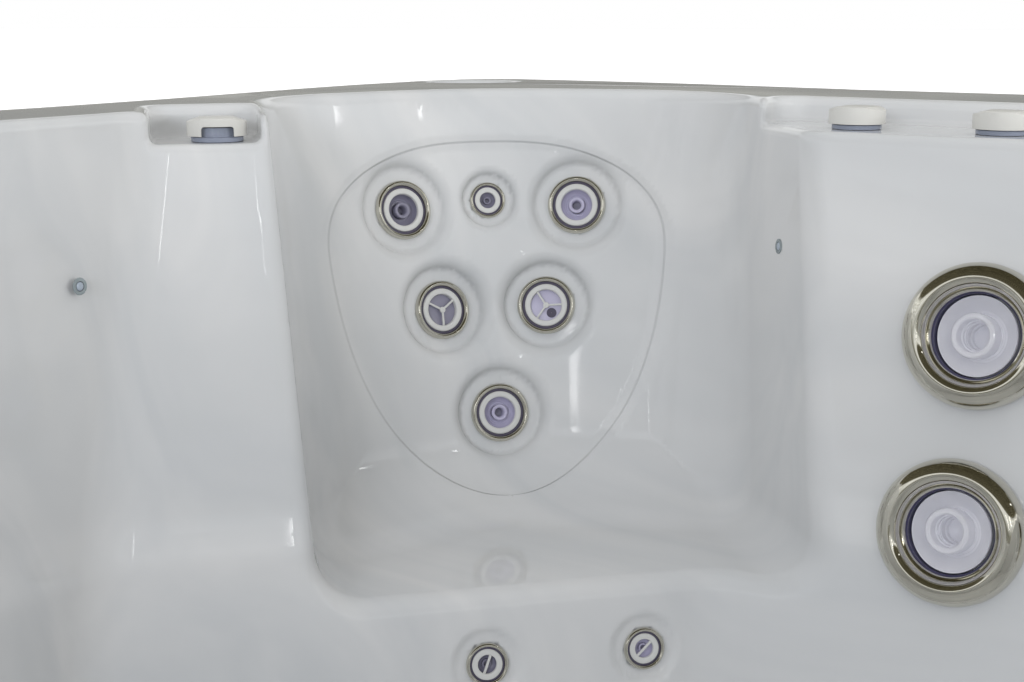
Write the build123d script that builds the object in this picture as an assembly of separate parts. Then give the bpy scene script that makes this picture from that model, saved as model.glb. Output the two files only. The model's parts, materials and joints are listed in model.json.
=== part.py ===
# Swim spa with corner massage seats, in millimetres.
# X runs across the spa, Y along it with the swim jets at +Y, and Z up.
# The origin lies under the middle of the base.
from build123d import *
from math import asin, cos, radians, sin, sqrt, tan
import os

# Overall size
spa_length = 4270
spa_width = 2440
spa_height = 1350
cut_overrun = 60
seat_gap = 0.3
slide_gap = 0.5

# Moulded shell
shell_wall = 12
side_rim = 190
jet_end_rim = 290
far_end_rim = 340
rim_thickness = 40
rim_lip_drop = 75
rim_lip_width = 24
rim_corner_radius = 130
rim_edge_chamfer = 9
pool_floor_height = 200
pool_corner_radius = 90
side_draft = 3
far_draft = 5
column_depth = 175
column_slope = 14
facet_distance = 523
facet_slope = 12
bench_depth = 560
bench_reach = 420
bench_corner_radius = 90

# Corner seat, measured from the rim corner along its bisector
seat_offset = -25
seat_depth = 610
seat_top_half_width = 350
seat_side_draft = 3.3
seat_back_distance = 155
seat_recline = 15
seat_front_reach = 900
seat_corner_radius = 110
wing_start = 62
wing_angle = 18
pad_half_width = 250
pad_top_depth = 70
pad_bottom_depth = 570
pad_waist_depth = 300
pad_crown = 26
pad_corner_radius = 80
pad_recess = 6
pad_reach = 110

# Knob shelf, knob pockets and cup dishes in the rim
shelf_depth = 33
shelf_half_length = 500
shelf_back_reach = 15
shelf_corner_radius = 40
pocket_depth = 40
pocket_width = 136
pocket_length = 150
pocket_side = -452
pocket_distance = 470
pocket_corner_radius = 28
dish_diameter = 150
dish_depth = 22
dish_side_reach = 88
dish_end_reach = 111

# Seat jets: places across the seat, and depths below the rim
jet_ring_diameter = 90
jet_ring_height = 9
jet_bore_diameter = 70
jet_body_wall = 5
jet_body_length = 70
jet_insert_length = 32
jet_ring_inset = 1.5
jet_ring_edge_share = 0.6
jet_face_hole = 45
jet_floor_depth = 20
jet_tube_diameter = 20
jet_tube_bore = 11
jet_tube_drop = 6
jet_bar_width = 6
small_jet_share = 0.62
upper_jet_spread = 132
upper_jet_depth = 166
middle_jet_spread = 78
middle_jet_depth = 318
waist_jet_depth = 476
calf_jet_spread = 106
calf_jet_depth = 700
dimple_diameter = 130
dimple_depth = 9
dimple_reach = 70
calf_dimple_depth = 3
small_jet_rise = 8
rotor_diameter = 46
rotor_thickness = 5
rotor_hub_diameter = 10
rotor_spoke_width = 4
rotor_spokes = 3
rotor_rim_width = 2.5
rotor_jets = (2, 3)
small_jet_names = ("shoulder_jet", "calf_jet_1", "calf_jet_2")

# Swim jets
swim_ring_diameter = 182
swim_ring_height = 26
swim_ring_bore = 110
swim_body_diameter = 124
swim_body_length = 130
swim_jet_spread = 142.5
swim_upper_depth = 268
swim_lower_depth = 504
swim_ball_diameter = 104
swim_nozzle_bore = 35
nozzle_front = 6
nozzle_back = 37
nozzle_wall = 3.5
nozzle_tube_diameter = 54
nozzle_tube_rise = 2
nozzle_dish_depth = 22
swim_ball_share = 0.3
swim_groove_share = 0.42
swim_edge_share = 0.5
swim_crest_share = 0.8

# Knobs and their valves
knob_diameter = 75
knob_height = 23
knob_window_width = 34
knob_window_height = 12
knob_shoulder_drop = 6
knob_crown_width = 44
knob_edge_chamfer = 2.5
collar_diameter = 66
collar_height = 7
valve_diameter = 58
valve_length = 92
stem_diameter = 14
stem_reach = 50
shelf_knob_inner = 163
shelf_knob_outer = 354
shelf_knob_reach = 100
pocket_knob_distance = 473
pocket_knob_side = -437

# Lights
light_diameter = 21
light_height = 2.5
light_stem_diameter = 14
stem_reach = 50
light_stem_length = 30
wall_light_reach = 867
light_depth = 194
far_light_reach = 2600
seat_light_inset = 42

# Filter well, skimmer and lid in the far rim
well_width = 420
well_length = 165
well_depth = 505
well_offset = 120
well_corner_radius = 24
mouth_width = 260
mouth_top_depth = 60
mouth_height = 120
plate_border = 24
plate_thickness = 5
weir_thickness = 6
weir_setback = 22
weir_pin = 5
cartridge_diameter = 130
cartridge_length = 300
cartridge_bore = 50
cartridge_spacing = 180
lid_overlap = 20
lid_thickness = 12
lid_grip_width = 90
lid_grip_depth = 5

# Suction covers
suction_diameter = 200
suction_height = 24
suction_wall = 6
suction_spread = 260
suction_rise = 190
suction_bore = 60
suction_slot_width = 8
suction_slots = 7
suction_slot_pitch = 20

# Keypad on the right rim
keypad_length = 210
keypad_width = 96
keypad_height = 9
keypad_place = 700
keypad_border = 8
keypad_screen_length = 90
keypad_screen_depth = 1.5
button_diameter = 24
button_height = 5
button_pitch = 34
button_count = 3
button_well_depth = 5.5
button_travel = 1

# Base, frame and cabinet
base_inset = 42
base_height = 60
base_floor = 14
base_wall = 22
cabinet_inset = 50
panel_thickness = 14
panel_groove_width = 8
panel_groove_depth = 4
panel_grooves = 7
corner_post_size = 120
corner_post_radius = 30
post_size = 36
long_post_shares = (-1, -0.5, 0, 0.5, 1)
end_post_shares = (-0.5, 0, 0.5)
mid_rail_height = 640
screw_head_diameter = 16
screw_head_height = 4
screw_head_sides = 6
screw_shank_diameter = 6
screw_low_height = 100
screw_top_drop = 230

# Pumps, pipes, heater and control box
pump_volute_diameter = 200
pump_volute_width = 90
pump_motor_diameter = 150
pump_motor_length = 260
pump_foot_width = 120
pump_axis_height = 150
pump_foot_reach = 120
pump_outlet_rise = 14
riser_setback = 15
riser_drop = 20
massage_pump_reach = 620
riser_diameter = 60
branch_diameter = 50
control_box_width = 330
control_box_depth = 120
control_box_height = 240
heater_diameter = 80
heater_length = 420
heater_saddle_width = 24
heater_gap = 30

# Drain valve and cable entry in the far end panel
drain_height = 130
drain_place_share = 0.6
drain_outlet_diameter = 26.4
drain_outlet_length = 18
drain_bore = 18
drain_flange_diameter = 56
drain_flange_thickness = 8
drain_body_diameter = 34
drain_body_length = 24
drain_lever_length = 60
drain_lever_width = 14
drain_lever_thickness = 5
drain_stem_diameter = 10
drain_stem_height = 12
drain_stem_depth = 6
drain_tail = 30
cable_place_share = -0.6
cable_bore_diameter = 32


def inner_half():
    return spa_width / 2 - side_rim


def jet_end():
    return spa_length / 2 - jet_end_rim


def far_end():
    return -spa_length / 2 + far_end_rim


def panel_inner_x():
    return spa_width / 2 - cabinet_inset - panel_thickness


def panel_inner_y():
    return spa_length / 2 - cabinet_inset - panel_thickness


def seat_frame():
    # Local X runs from the left rim corner along the seat's axis, local Y across it.
    return Plane(origin=(-inner_half(), jet_end(), spa_height), x_dir=(1, -1, 0), z_dir=(0, 0, 1))


def in_world(origin, normal):
    # A plane given in the seat's frame, carried to the spa's frame.
    frame = seat_frame()
    start = frame.from_local_coords(Vector(*origin))
    tip = frame.from_local_coords(Vector(*origin) + Vector(*normal))
    return Plane(origin=start, x_dir=(tip - start).cross(Vector(0, 0, 1)), z_dir=tip - start)


def mirrored(shape):
    return mirror(shape, about=Plane.YZ)


def mirrored_place(place):
    flip = Vector(-1, 1, 1)
    origin = Vector(place.origin.X * flip.X, place.origin.Y, place.origin.Z)
    normal = Vector(place.z_dir.X * flip.X, place.z_dir.Y, place.z_dir.Z)
    across = Vector(place.x_dir.X * flip.X, place.x_dir.Y, place.x_dir.Z)
    return Plane(origin=origin, x_dir=across, z_dir=normal)


def joined(shapes):
    whole = shapes[0]
    for shape in shapes[1:]:
        whole = whole + shape
    return whole


def rod(place, radius, low, high):
    # A cylinder along a place's axis, between two heights.
    return extrude(Plane(origin=place.origin + place.z_dir * low, x_dir=place.x_dir,
                         z_dir=place.z_dir) * Circle(radius), high - low)


def turned(place, outline):
    # A ring or cup from a half profile of (radius, height) points.
    wire = Polyline(*[(x, 0, z) for x, z in outline], close=True)
    return place * revolve(make_face(wire), axis=Axis.Z)


def trimmed(block, faces, grow):
    # Keeps what lies behind each plane, with the planes moved out by grow.
    for origin, normal in faces:
        outward = Vector(*normal).normalized()
        plane = Plane(origin=Vector(*origin) + outward * grow, z_dir=outward)
        block = split(block, bisect_by=plane, keep=Keep.BOTTOM)
    return block


def leaning(x, y, z, nx, ny, slope):
    # A wall plane through a point, leaning in towards the floor.
    lean = radians(slope)
    size = sqrt(nx * nx + ny * ny)
    return (x, y, z), (nx / size * cos(lean), ny / size * cos(lean), -sin(lean))


def closed_edges(body, open_planes):
    # The edges that don't lie in one of the open planes.
    keep = []
    for edge in body.edges():
        ends = [edge @ 0, edge @ 0.5, edge @ 1]
        flat = [all(abs((p - o).dot(n)) < seat_gap for p in ends) for o, n in open_planes]
        if not any(flat):
            keep.append(edge)
    return keep


def pool_part(grow, far_wall, floor_depth, radius):
    # The wet side has round corners. The dry side, moved out by grow, is left square.
    top = spa_height + cut_overrun
    side_cut = facet_distance / sqrt(2)
    facet_x, facet_y = inner_half() - side_cut, jet_end() - side_cut
    faces = [leaning(inner_half(), 0, spa_height, 1, 0, side_draft),
             leaning(-inner_half(), 0, spa_height, -1, 0, side_draft),
             leaning(0, jet_end() - column_depth, spa_height, 0, 1, column_slope),
             leaning(facet_x, facet_y, spa_height, 1, 1, facet_slope),
             leaning(-facet_x, facet_y, spa_height, -1, 1, facet_slope),
             far_wall,
             ((0, 0, spa_height - floor_depth), (0, 0, -1))]
    block = Pos(0, 0, top - spa_height) * Box(spa_width, spa_length, 2 * spa_height)
    body = trimmed(block, faces, grow)
    open_top = (Vector(0, 0, top), Vector(0, 0, 1))
    return body if grow else fillet(closed_edges(body, [open_top]), radius)


def pool(grow):
    deep_wall = leaning(0, far_end() + bench_reach, spa_height, 0, -1, far_draft)
    far_wall = leaning(0, far_end(), spa_height, 0, -1, far_draft)
    deep = pool_part(grow, deep_wall, spa_height - pool_floor_height, pool_corner_radius)
    return deep + pool_part(grow, far_wall, bench_depth, bench_corner_radius)


def back_faces():
    # A middle panel and two wings turned in around the bather.
    lean = radians(seat_recline)
    faces = []
    for side in (-1, 0, 1):
        turn = radians(wing_angle) * side
        normal = (-cos(lean) * cos(turn), cos(lean) * sin(turn), -sin(lean))
        faces.append(((seat_back_distance, seat_offset + side * wing_start, 0), normal))
    return faces


def seat_hollow(grow):
    low, high = seat_offset - seat_top_half_width, seat_offset + seat_top_half_width
    faces = [leaning(0, low, 0, 0, -1, seat_side_draft),
             leaning(0, high, 0, 0, 1, seat_side_draft),
             ((0, 0, -seat_depth), (0, 0, -1))]
    block = Box(2 * seat_front_reach, 4 * seat_top_half_width, 2 * spa_height)
    body = trimmed(Pos(0, 0, cut_overrun - spa_height) * block, faces + back_faces(), grow)
    front = (Vector(seat_front_reach, 0, 0), Vector(1, 0, 0))
    top = (Vector(0, 0, cut_overrun), Vector(0, 0, 1))
    if not grow:
        body = fillet(closed_edges(body, [front, top]), seat_corner_radius)
    return seat_frame() * body


def pad_hollow():
    # The arched pad is sunk into the back by its own small step.
    lean = radians(seat_recline)
    high, low = -pad_top_depth / cos(lean), -pad_bottom_depth / cos(lean)
    side, waist = pad_half_width, -pad_waist_depth / cos(lean)
    outline = make_face(Curve() + [
        Line((-side, waist), (-side, high - pad_crown)),
        ThreePointArc((-side, high - pad_crown), (0, high), (side, high - pad_crown)),
        Line((side, high - pad_crown), (side, waist)),
        EllipticalCenterArc((0, waist), side, waist - low, start_angle=180, arc_size=180)])
    top = [corner for corner in outline.vertices() if corner.Y > waist]
    outline = fillet(top, pad_corner_radius)
    face = Plane(origin=(seat_back_distance, seat_offset, 0), x_dir=(0, 1, 0),
                 z_dir=(cos(lean), 0, sin(lean)))
    block = extrude(Plane(origin=face.origin - face.z_dir * pad_reach, x_dir=face.x_dir,
                          z_dir=face.z_dir) * outline, 2 * pad_reach)
    return seat_frame() * trimmed(block, back_faces(), pad_recess)


def back_place(spread, depth, sink):
    # A jet's place on the middle panel or a wing, sunk below its surface.
    side = 0 if abs(spread) < wing_start else (1 if spread > 0 else -1)
    origin, normal = back_faces()[side + 1]
    away = abs(spread) - wing_start if side else 0
    distance = origin[0] + depth * tan(radians(seat_recline))
    distance += away * tan(radians(wing_angle)) if side else 0
    inward = [-n for n in normal]
    start = (distance, seat_offset + spread, -depth)
    return in_world([a - sink * n for a, n in zip(start, inward)], inward)


def facet_place(spread, depth, sink):
    lean = radians(facet_slope)
    normal = (cos(lean), 0, sin(lean))
    start = (facet_distance + depth * tan(lean), seat_offset + spread, -depth)
    return in_world([a - sink * n for a, n in zip(start, normal)], normal)


def large_jets():
    # Top row outer pair, middle pair with rotors, and the waist jet.
    sink = pad_recess + dimple_depth
    return [back_place(-upper_jet_spread, upper_jet_depth, sink),
            back_place(upper_jet_spread, upper_jet_depth, sink),
            back_place(-middle_jet_spread, middle_jet_depth, sink),
            back_place(middle_jet_spread, middle_jet_depth, sink),
            back_place(0, waist_jet_depth, sink)]


def small_jets():
    # The small jet between the shoulders, and the calf pair on the riser.
    return [back_place(0, upper_jet_depth - small_jet_rise, pad_recess + dimple_depth),
            facet_place(-calf_jet_spread, calf_jet_depth, calf_dimple_depth),
            facet_place(calf_jet_spread, calf_jet_depth, calf_dimple_depth)]


def swim_place(side, depth):
    lean = radians(column_slope)
    start = (side, jet_end() - column_depth - depth * tan(lean), spa_height - depth)
    return Plane(origin=start, x_dir=(1, 0, 0), z_dir=(0, -cos(lean), sin(lean)))


def swim_jets():
    return [swim_place(side, depth) for side in (-swim_jet_spread, swim_jet_spread)
            for depth in (swim_upper_depth, swim_lower_depth)]


def suctions():
    depth = spa_height - pool_floor_height - suction_rise
    return [swim_place(side, depth) for side in (-suction_spread, suction_spread)]


def upright(x, y, z):
    return Plane(origin=(x, y, z), x_dir=(1, 0, 0), z_dir=(0, 0, 1))


def knob_places():
    # Four on the shelf, one in each pocket, on the hollow's floor.
    shelf_z, y = spa_height - shelf_depth, jet_end() - shelf_knob_reach
    places = [upright(x, y, shelf_z) for x in (-shelf_knob_outer, -shelf_knob_inner,
                                               shelf_knob_inner, shelf_knob_outer)]
    spot = seat_frame().from_local_coords((pocket_knob_distance, pocket_knob_side, 0))
    pocket_z = spa_height - pocket_depth
    places.append(Plane(origin=(spot.X, spot.Y, pocket_z), x_dir=(1, 1, 0), z_dir=(0, 0, 1)))
    places.append(Plane(origin=(-spot.X, spot.Y, pocket_z), x_dir=(1, -1, 0), z_dir=(0, 0, 1)))
    return places


def light_places():
    lean, draft = radians(side_draft), radians(seat_side_draft)
    x = -inner_half() + light_depth * tan(lean)
    walls = [Plane(origin=(x, jet_end() - reach, spa_height - light_depth), x_dir=(0, 1, 0),
                   z_dir=(cos(lean), 0, sin(lean))) for reach in (wall_light_reach, far_light_reach)]
    distance = facet_distance + light_depth * tan(radians(facet_slope)) - seat_light_inset
    side = seat_offset + seat_top_half_width - light_depth * tan(draft)
    seat = in_world((distance, side, -light_depth), (0, -cos(draft), sin(draft)))
    left = walls + [seat]
    return left + [mirrored_place(place) for place in left]


def shelf_hollow(grow):
    length = 2 * (shelf_half_length + grow)
    depth = column_depth + shelf_back_reach + cut_overrun + grow
    outline = RectangleRounded(length, 2 * depth, shelf_corner_radius + grow)
    low = spa_height - shelf_depth - grow
    start = jet_end() + shelf_back_reach + grow - depth
    body = extrude(Pos(0, start, low) * outline, spa_height + cut_overrun - low)
    front = Box(spa_width, spa_length, 2 * spa_height)
    return body & Pos(0, jet_end() - column_depth - cut_overrun + spa_length / 2, spa_height) * front


def pocket_hollow(grow):
    outline = RectangleRounded(pocket_length + 2 * grow, pocket_width + 2 * grow,
                               pocket_corner_radius + grow)
    low = -pocket_depth - grow
    body = extrude(Pos(pocket_distance, pocket_side, low) * outline, cut_overrun - low)
    return seat_frame() * body


def dish_hollow():
    place = upright(-inner_half() - dish_side_reach, jet_end() + dish_end_reach, spa_height - dish_depth)
    return rod(place, dish_diameter / 2, 0, dish_depth + cut_overrun)


def well_middle():
    return -spa_length / 2 + well_offset + well_length / 2


def well_hollow(grow):
    outline = RectangleRounded(well_width + 2 * grow, well_length + 2 * grow, well_corner_radius + grow)
    low = spa_height - well_depth - grow
    well = extrude(Pos(0, well_middle(), low) * outline, spa_height + cut_overrun - low)
    reach = far_end() - well_middle() + mouth_height
    mouth = Box(mouth_width + 2 * grow, reach, mouth_height + 2 * grow)
    middle = spa_height - mouth_top_depth - mouth_height / 2
    return well + Pos(0, well_middle() + reach / 2, middle) * mouth


def dimple(place, width, depth):
    return rod(place, width / 2, 0, depth + dimple_reach)


def corner_hollow():
    parts = [seat_hollow(0), pad_hollow(), pocket_hollow(0)]
    parts += [dimple(p, dimple_diameter, dimple_depth) for p in large_jets()]
    back, *calves = small_jets()
    parts.append(dimple(back, dimple_diameter * small_jet_share, dimple_depth))
    parts += [dimple(p, dimple_diameter * small_jet_share, calf_dimple_depth) for p in calves]
    return joined(parts)


def wet_side():
    corner = corner_hollow()
    return joined([pool(0), corner, mirrored(corner), shelf_hollow(0), well_hollow(0)])


def dry_side():
    # Thicker behind the seats, where the jets' dimples are sunk into the back.
    seat = seat_hollow(shell_wall + pad_recess + dimple_depth)
    corner = seat + pocket_hollow(shell_wall)
    return joined([pool(shell_wall), corner, mirrored(corner), shelf_hollow(shell_wall),
                   well_hollow(shell_wall)])


def rim():
    base = spa_height - rim_lip_drop
    outline = RectangleRounded(spa_width, spa_length, rim_corner_radius)
    slab = extrude(Pos(0, 0, base) * outline, rim_lip_drop)
    slab = chamfer(slab.faces().sort_by(Axis.Z)[-1].edges(), rim_edge_chamfer)
    under = RectangleRounded(spa_width - 2 * rim_lip_width, spa_length - 2 * rim_lip_width,
                             rim_corner_radius - rim_lip_width)
    return slab - extrude(Pos(0, 0, base) * under, rim_lip_drop - rim_thickness)


def jet_holes():
    holes = []
    for places, share in ((large_jets(), 1), (small_jets(), small_jet_share)):
        radius = jet_bore_diameter * share / 2 + jet_body_wall + seat_gap
        holes += [rod(p, radius, -4 * shell_wall, cut_overrun) for p in places]
    holes += [mirrored(hole) for hole in holes]
    holes += [rod(p, swim_body_diameter / 2 + seat_gap, -4 * shell_wall, cut_overrun) for p in swim_jets()]
    return holes


def small_holes():
    holes = [rod(p, light_stem_diameter / 2 + seat_gap, -3 * shell_wall, shell_wall) for p in light_places()]
    holes += [rod(p, stem_diameter / 2 + slide_gap, -3 * shell_wall, shell_wall) for p in knob_places()]
    holes += [rod(p, suction_bore / 2, -3 * shell_wall, shell_wall) for p in suctions()]
    return holes


def shell():
    cut = Plane(origin=(0, 0, spa_height - rim_thickness / 2))
    body = rim() + split(dry_side(), bisect_by=cut, keep=Keep.BOTTOM) - wet_side()
    dish = dish_hollow()
    for hole in jet_holes() + small_holes() + [dish, mirrored(dish)]:
        body = body - hole
    return body


def jet_bodies():
    # Cups let into the shell behind each seat jet, closed at the back.
    bodies = []
    for places, share in ((large_jets(), 1), (small_jets(), small_jet_share)):
        bore = jet_bore_diameter * share / 2
        wall = bore + jet_body_wall
        back = -jet_body_length * share
        floor = back + jet_body_wall
        outline = [(0, back), (wall, back), (wall, 0), (bore, 0), (bore, floor), (0, floor)]
        bodies += [turned(p, outline) for p in places]
    return bodies + [mirrored(body) for body in bodies]


def jet_rings():
    # Rounded cover rings that seat on the dimple floor round each cup.
    rings = []
    for places, share in ((large_jets(), 1), (small_jets(), small_jet_share)):
        outer = jet_ring_diameter * share / 2
        inner = (jet_bore_diameter / 2 + jet_ring_inset) * share
        high = jet_ring_height * share
        low = high * jet_ring_edge_share
        outline = [(inner, 0), (outer, 0), (outer, low), ((outer + inner) / 2, high), (inner, low)]
        rings += [turned(p, outline) for p in places]
    return rings + [mirrored(ring) for ring in rings]


def jet_insert(place, share, carries_rotor):
    # Turns in its cup to open or close the flow: a face ring round a sunken nozzle.
    radius = jet_bore_diameter * share / 2 - slide_gap
    front = jet_ring_height * share * jet_ring_edge_share
    back = front - jet_insert_length * share
    if carries_rotor:
        hole, floor = rotor_diameter / 2 + slide_gap, front - rotor_thickness - slide_gap
        pin = stem_diameter / 4 + seat_gap
        return turned(place, [(pin, back), (radius, back), (radius, front), (hole, front),
                              (hole, floor), (pin, floor)])
    hole, floor = jet_face_hole * share / 2, front - jet_floor_depth * share
    tube, bore, tip = jet_tube_diameter * share / 2, jet_tube_bore * share / 2, front - jet_tube_drop * share
    return turned(place, [(bore, back), (radius, back), (radius, front), (hole, front), (hole, floor),
                          (tube, floor), (tube, tip), (bore, tip)])


def calf_insert(place):
    # The calf jets have a bar across the face, to turn them by.
    share = small_jet_share
    front = jet_ring_height * share * jet_ring_edge_share
    low = front - jet_tube_drop * share
    bar = Pos(0, 0, (front + low) / 2) * Box(jet_face_hole * share, jet_bar_width * share, front - low)
    return jet_insert(place, share, False) + place * bar


def rotor(place):
    # Hub, rim and three spokes on a short pin through the insert.
    front = jet_ring_height * jet_ring_edge_share
    back = front - rotor_thickness
    pin = front - jet_insert_length
    rim_outer, rim_inner = rotor_diameter / 2, rotor_diameter / 2 - rotor_rim_width
    wheel = rod(place, rim_outer, back, front) - rod(place, rim_inner, back, front)
    wheel = wheel + rod(place, rotor_hub_diameter / 2, back, front)
    reach = (rim_outer + rim_inner) / 2
    for turn in range(rotor_spokes):
        spoke = Pos(reach / 2, 0, (back + front) / 2) * Box(reach, rotor_spoke_width, rotor_thickness)
        wheel = wheel + place * (Rot(0, 0, turn * 360 / rotor_spokes) * spoke)
    return wheel + rod(place, stem_diameter / 4, pin, back)


def swim_bodies():
    radius = swim_body_diameter / 2
    ball = swim_ball_diameter / 2 + slide_gap
    floor = -swim_body_length + jet_body_wall
    outline = [(0, -swim_body_length), (radius, -swim_body_length), (radius, 0), (ball, 0),
               (ball, floor), (0, floor)]
    return [turned(p, outline) for p in swim_jets()]


def swim_rings():
    # Stepped polished rings: an outer bead, a groove and an inner bead.
    outer, inner = swim_ring_diameter / 2, swim_ring_bore / 2
    high = swim_ring_height
    groove = inner + (outer - inner) * swim_groove_share
    crest = (outer + groove) / 2
    edge, top = high * swim_edge_share, high * swim_crest_share
    outline = [(inner, 0), (outer, 0), (outer, edge), (crest, top), (groove, edge),
               ((groove + inner) / 2, high), (inner, top)]
    return [turned(p, outline) for p in swim_jets()]


def nozzle_centre(place):
    return place.origin - place.z_dir * (swim_ball_diameter / 2 * swim_ball_share)


def swim_nozzle(place):
    # A ball held behind the ring, dished round a central tube; it tilts to aim the stream.
    radius = swim_ball_diameter / 2
    middle = Plane(origin=nozzle_centre(place), x_dir=place.x_dir, z_dir=place.z_dir)
    front, back = nozzle_front, -nozzle_back
    slab = Pos(0, 0, (front + back) / 2) * Box(2 * radius, 2 * radius, front - back)
    ball = middle * (Sphere(radius) & slab)
    rim = sqrt(radius * radius - front * front) - nozzle_wall
    tube = nozzle_tube_diameter / 2
    hollow = turned(middle, [(0, nozzle_tube_rise), (tube, nozzle_tube_rise), (tube, -nozzle_dish_depth),
                             (rim - nozzle_wall, -nozzle_dish_depth / 2), (rim, front),
                             (rim, front + nozzle_wall), (0, front + nozzle_wall)])
    return ball - hollow - rod(middle, swim_nozzle_bore / 2, back - nozzle_wall, front)


def knob_cap(place):
    # A round cap with two lowered shoulders and a window cut in its skirt.
    low = collar_height + seat_gap
    high = low + knob_height
    radius = knob_diameter / 2
    cap = rod(place, radius, low, high)
    cap = chamfer(cap.faces().sort_by(Axis.Z)[-1].edges(), knob_edge_chamfer)
    shoulder = Box(radius, knob_diameter, knob_shoulder_drop)
    for side in (-1, 1):
        x = side * (knob_crown_width / 2 + radius / 2)
        cap = cap - place * (Pos(x, 0, high - knob_shoulder_drop / 2) * shoulder)
    window = Box(knob_window_width, radius, knob_window_height)
    cap = cap - place * (Pos(0, -radius, low + knob_window_height / 2) * window)
    return cap + rod(place, stem_diameter / 2, -stem_reach, low)


def knob_collars():
    return [rod(p, collar_diameter / 2, 0, collar_height) -
            rod(p, stem_diameter / 2 + slide_gap, 0, collar_height) for p in knob_places()]


def valves():
    low = -shell_wall - valve_length
    return [rod(p, valve_diameter / 2, low, -shell_wall) -
            rod(p, stem_diameter / 2 + slide_gap, -stem_reach - seat_gap, -shell_wall)
            for p in knob_places()]


def lights():
    return [rod(p, light_diameter / 2, 0, light_height) +
            rod(p, light_stem_diameter / 2, -light_stem_length, 0) for p in light_places()]


def cartridges():
    low = spa_height - well_depth
    bodies = []
    for side in (-1, 1):
        place = upright(side * cartridge_spacing / 2, well_middle(), low)
        bodies.append(rod(place, cartridge_diameter / 2, 0, cartridge_length) -
                      rod(place, cartridge_bore / 2, 0, cartridge_length))
    return bodies


def far_wall_place(depth):
    # On the far wall of the pool, facing the water.
    lean = radians(far_draft)
    start = (0, far_end() + depth * tan(lean), spa_height - depth)
    return Plane(origin=start, x_dir=(-1, 0, 0), z_dir=(0, cos(lean), sin(lean)))


def skimmer_plate():
    place = far_wall_place(mouth_top_depth + mouth_height / 2)
    outer = Box(mouth_width + 2 * plate_border, mouth_height + 2 * plate_border, plate_thickness)
    inner = Box(mouth_width, mouth_height, plate_thickness)
    return place * (Pos(0, 0, plate_thickness / 2) * (outer - inner))


def weir_hinge():
    # The hinge line of the floating flap, across the bottom of the mouth.
    return (0, far_end() - weir_setback, spa_height - mouth_top_depth - mouth_height + weir_pin)


def weir_flap():
    x, y, z = weir_hinge()
    height = mouth_height - 2 * weir_pin
    flap = Pos(x, y, z + height / 2) * Box(mouth_width - 2 * weir_pin, weir_thickness, height)
    pin = Plane(origin=(-mouth_width / 2 + seat_gap, y, z), x_dir=(0, 1, 0), z_dir=(1, 0, 0))
    return flap + rod(pin, weir_thickness / 2, 0, mouth_width - 2 * seat_gap)


def filter_lid():
    place = Pos(0, well_middle(), spa_height + seat_gap + lid_thickness / 2)
    plate = Box(well_width + 2 * lid_overlap, well_length + 2 * lid_overlap, lid_thickness)
    plate = chamfer(plate.faces().sort_by(Axis.Z)[-1].edges(), lid_thickness / 3)
    grip = Pos(0, 0, lid_thickness / 2) * Box(lid_grip_width, well_length / 3, 2 * lid_grip_depth)
    skirt = Pos(0, 0, -lid_thickness) * Box(well_width - 2 * well_corner_radius,
                                            well_length - 2 * well_corner_radius, lid_thickness)
    return place * (plate + skirt - grip)


def suction_covers():
    covers = []
    for place in suctions():
        radius = suction_diameter / 2
        dome = turned(place, [(0, suction_height - suction_wall), (radius - suction_wall, suction_wall),
                              (radius - suction_wall, 0), (radius, 0), (radius, suction_wall),
                              (radius / 2, suction_height), (0, suction_height)])
        for row in range(suction_slots):
            y = (row - (suction_slots - 1) / 2) * suction_slot_pitch
            slot = Pos(0, y, suction_height / 2) * Box(radius, suction_slot_width, 2 * suction_height)
            dome = dome - place * slot
        covers.append(dome)
    return covers


def keypad_middle():
    return spa_width / 2 - side_rim / 2, keypad_place


def button_place(index):
    x, y = keypad_middle()
    first = y - keypad_length / 2 + keypad_border + button_diameter
    return upright(x, first + index * button_pitch, spa_height + keypad_height - button_well_depth)


def keypad():
    x, y = keypad_middle()
    body = extrude(Pos(x, y, spa_height) * RectangleRounded(keypad_width, keypad_length, keypad_border),
                   keypad_height)
    for index in range(button_count):
        body = body - rod(button_place(index), button_diameter / 2 + slide_gap, 0, keypad_height)
    screen_y = y + keypad_length / 2 - keypad_border - keypad_screen_length / 2
    screen = Box(keypad_width - 2 * keypad_border, keypad_screen_length, 2 * keypad_screen_depth)
    return body - Pos(x, screen_y, spa_height + keypad_height) * screen


def keypad_button(index):
    low = button_travel + seat_gap
    return rod(button_place(index), button_diameter / 2, low, low + button_height)


def ground_box(x, y, z, width, length, height):
    return Pos(x, y, z + height / 2) * Box(width, length, height)


def base_pan():
    width, length = spa_width - 2 * base_inset, spa_length - 2 * base_inset
    tray = extrude(RectangleRounded(width, length, corner_post_radius), base_height)
    return tray - ground_box(0, 0, base_floor, width - 2 * base_wall, length - 2 * base_wall, base_height)


def rail_top():
    return spa_height - rim_thickness


def frame_posts():
    side_x, end_y = panel_inner_x() - post_size / 2, panel_inner_y() - post_size / 2
    height = rail_top() - post_size - base_floor
    spots = [(sx * side_x, share * end_y) for sx in (-1, 1) for share in long_post_shares]
    spots += [(share * side_x, sy * end_y) for sy in (-1, 1) for share in end_post_shares]
    return [ground_box(x, y, base_floor, post_size, post_size, height) for x, y in spots]


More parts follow.
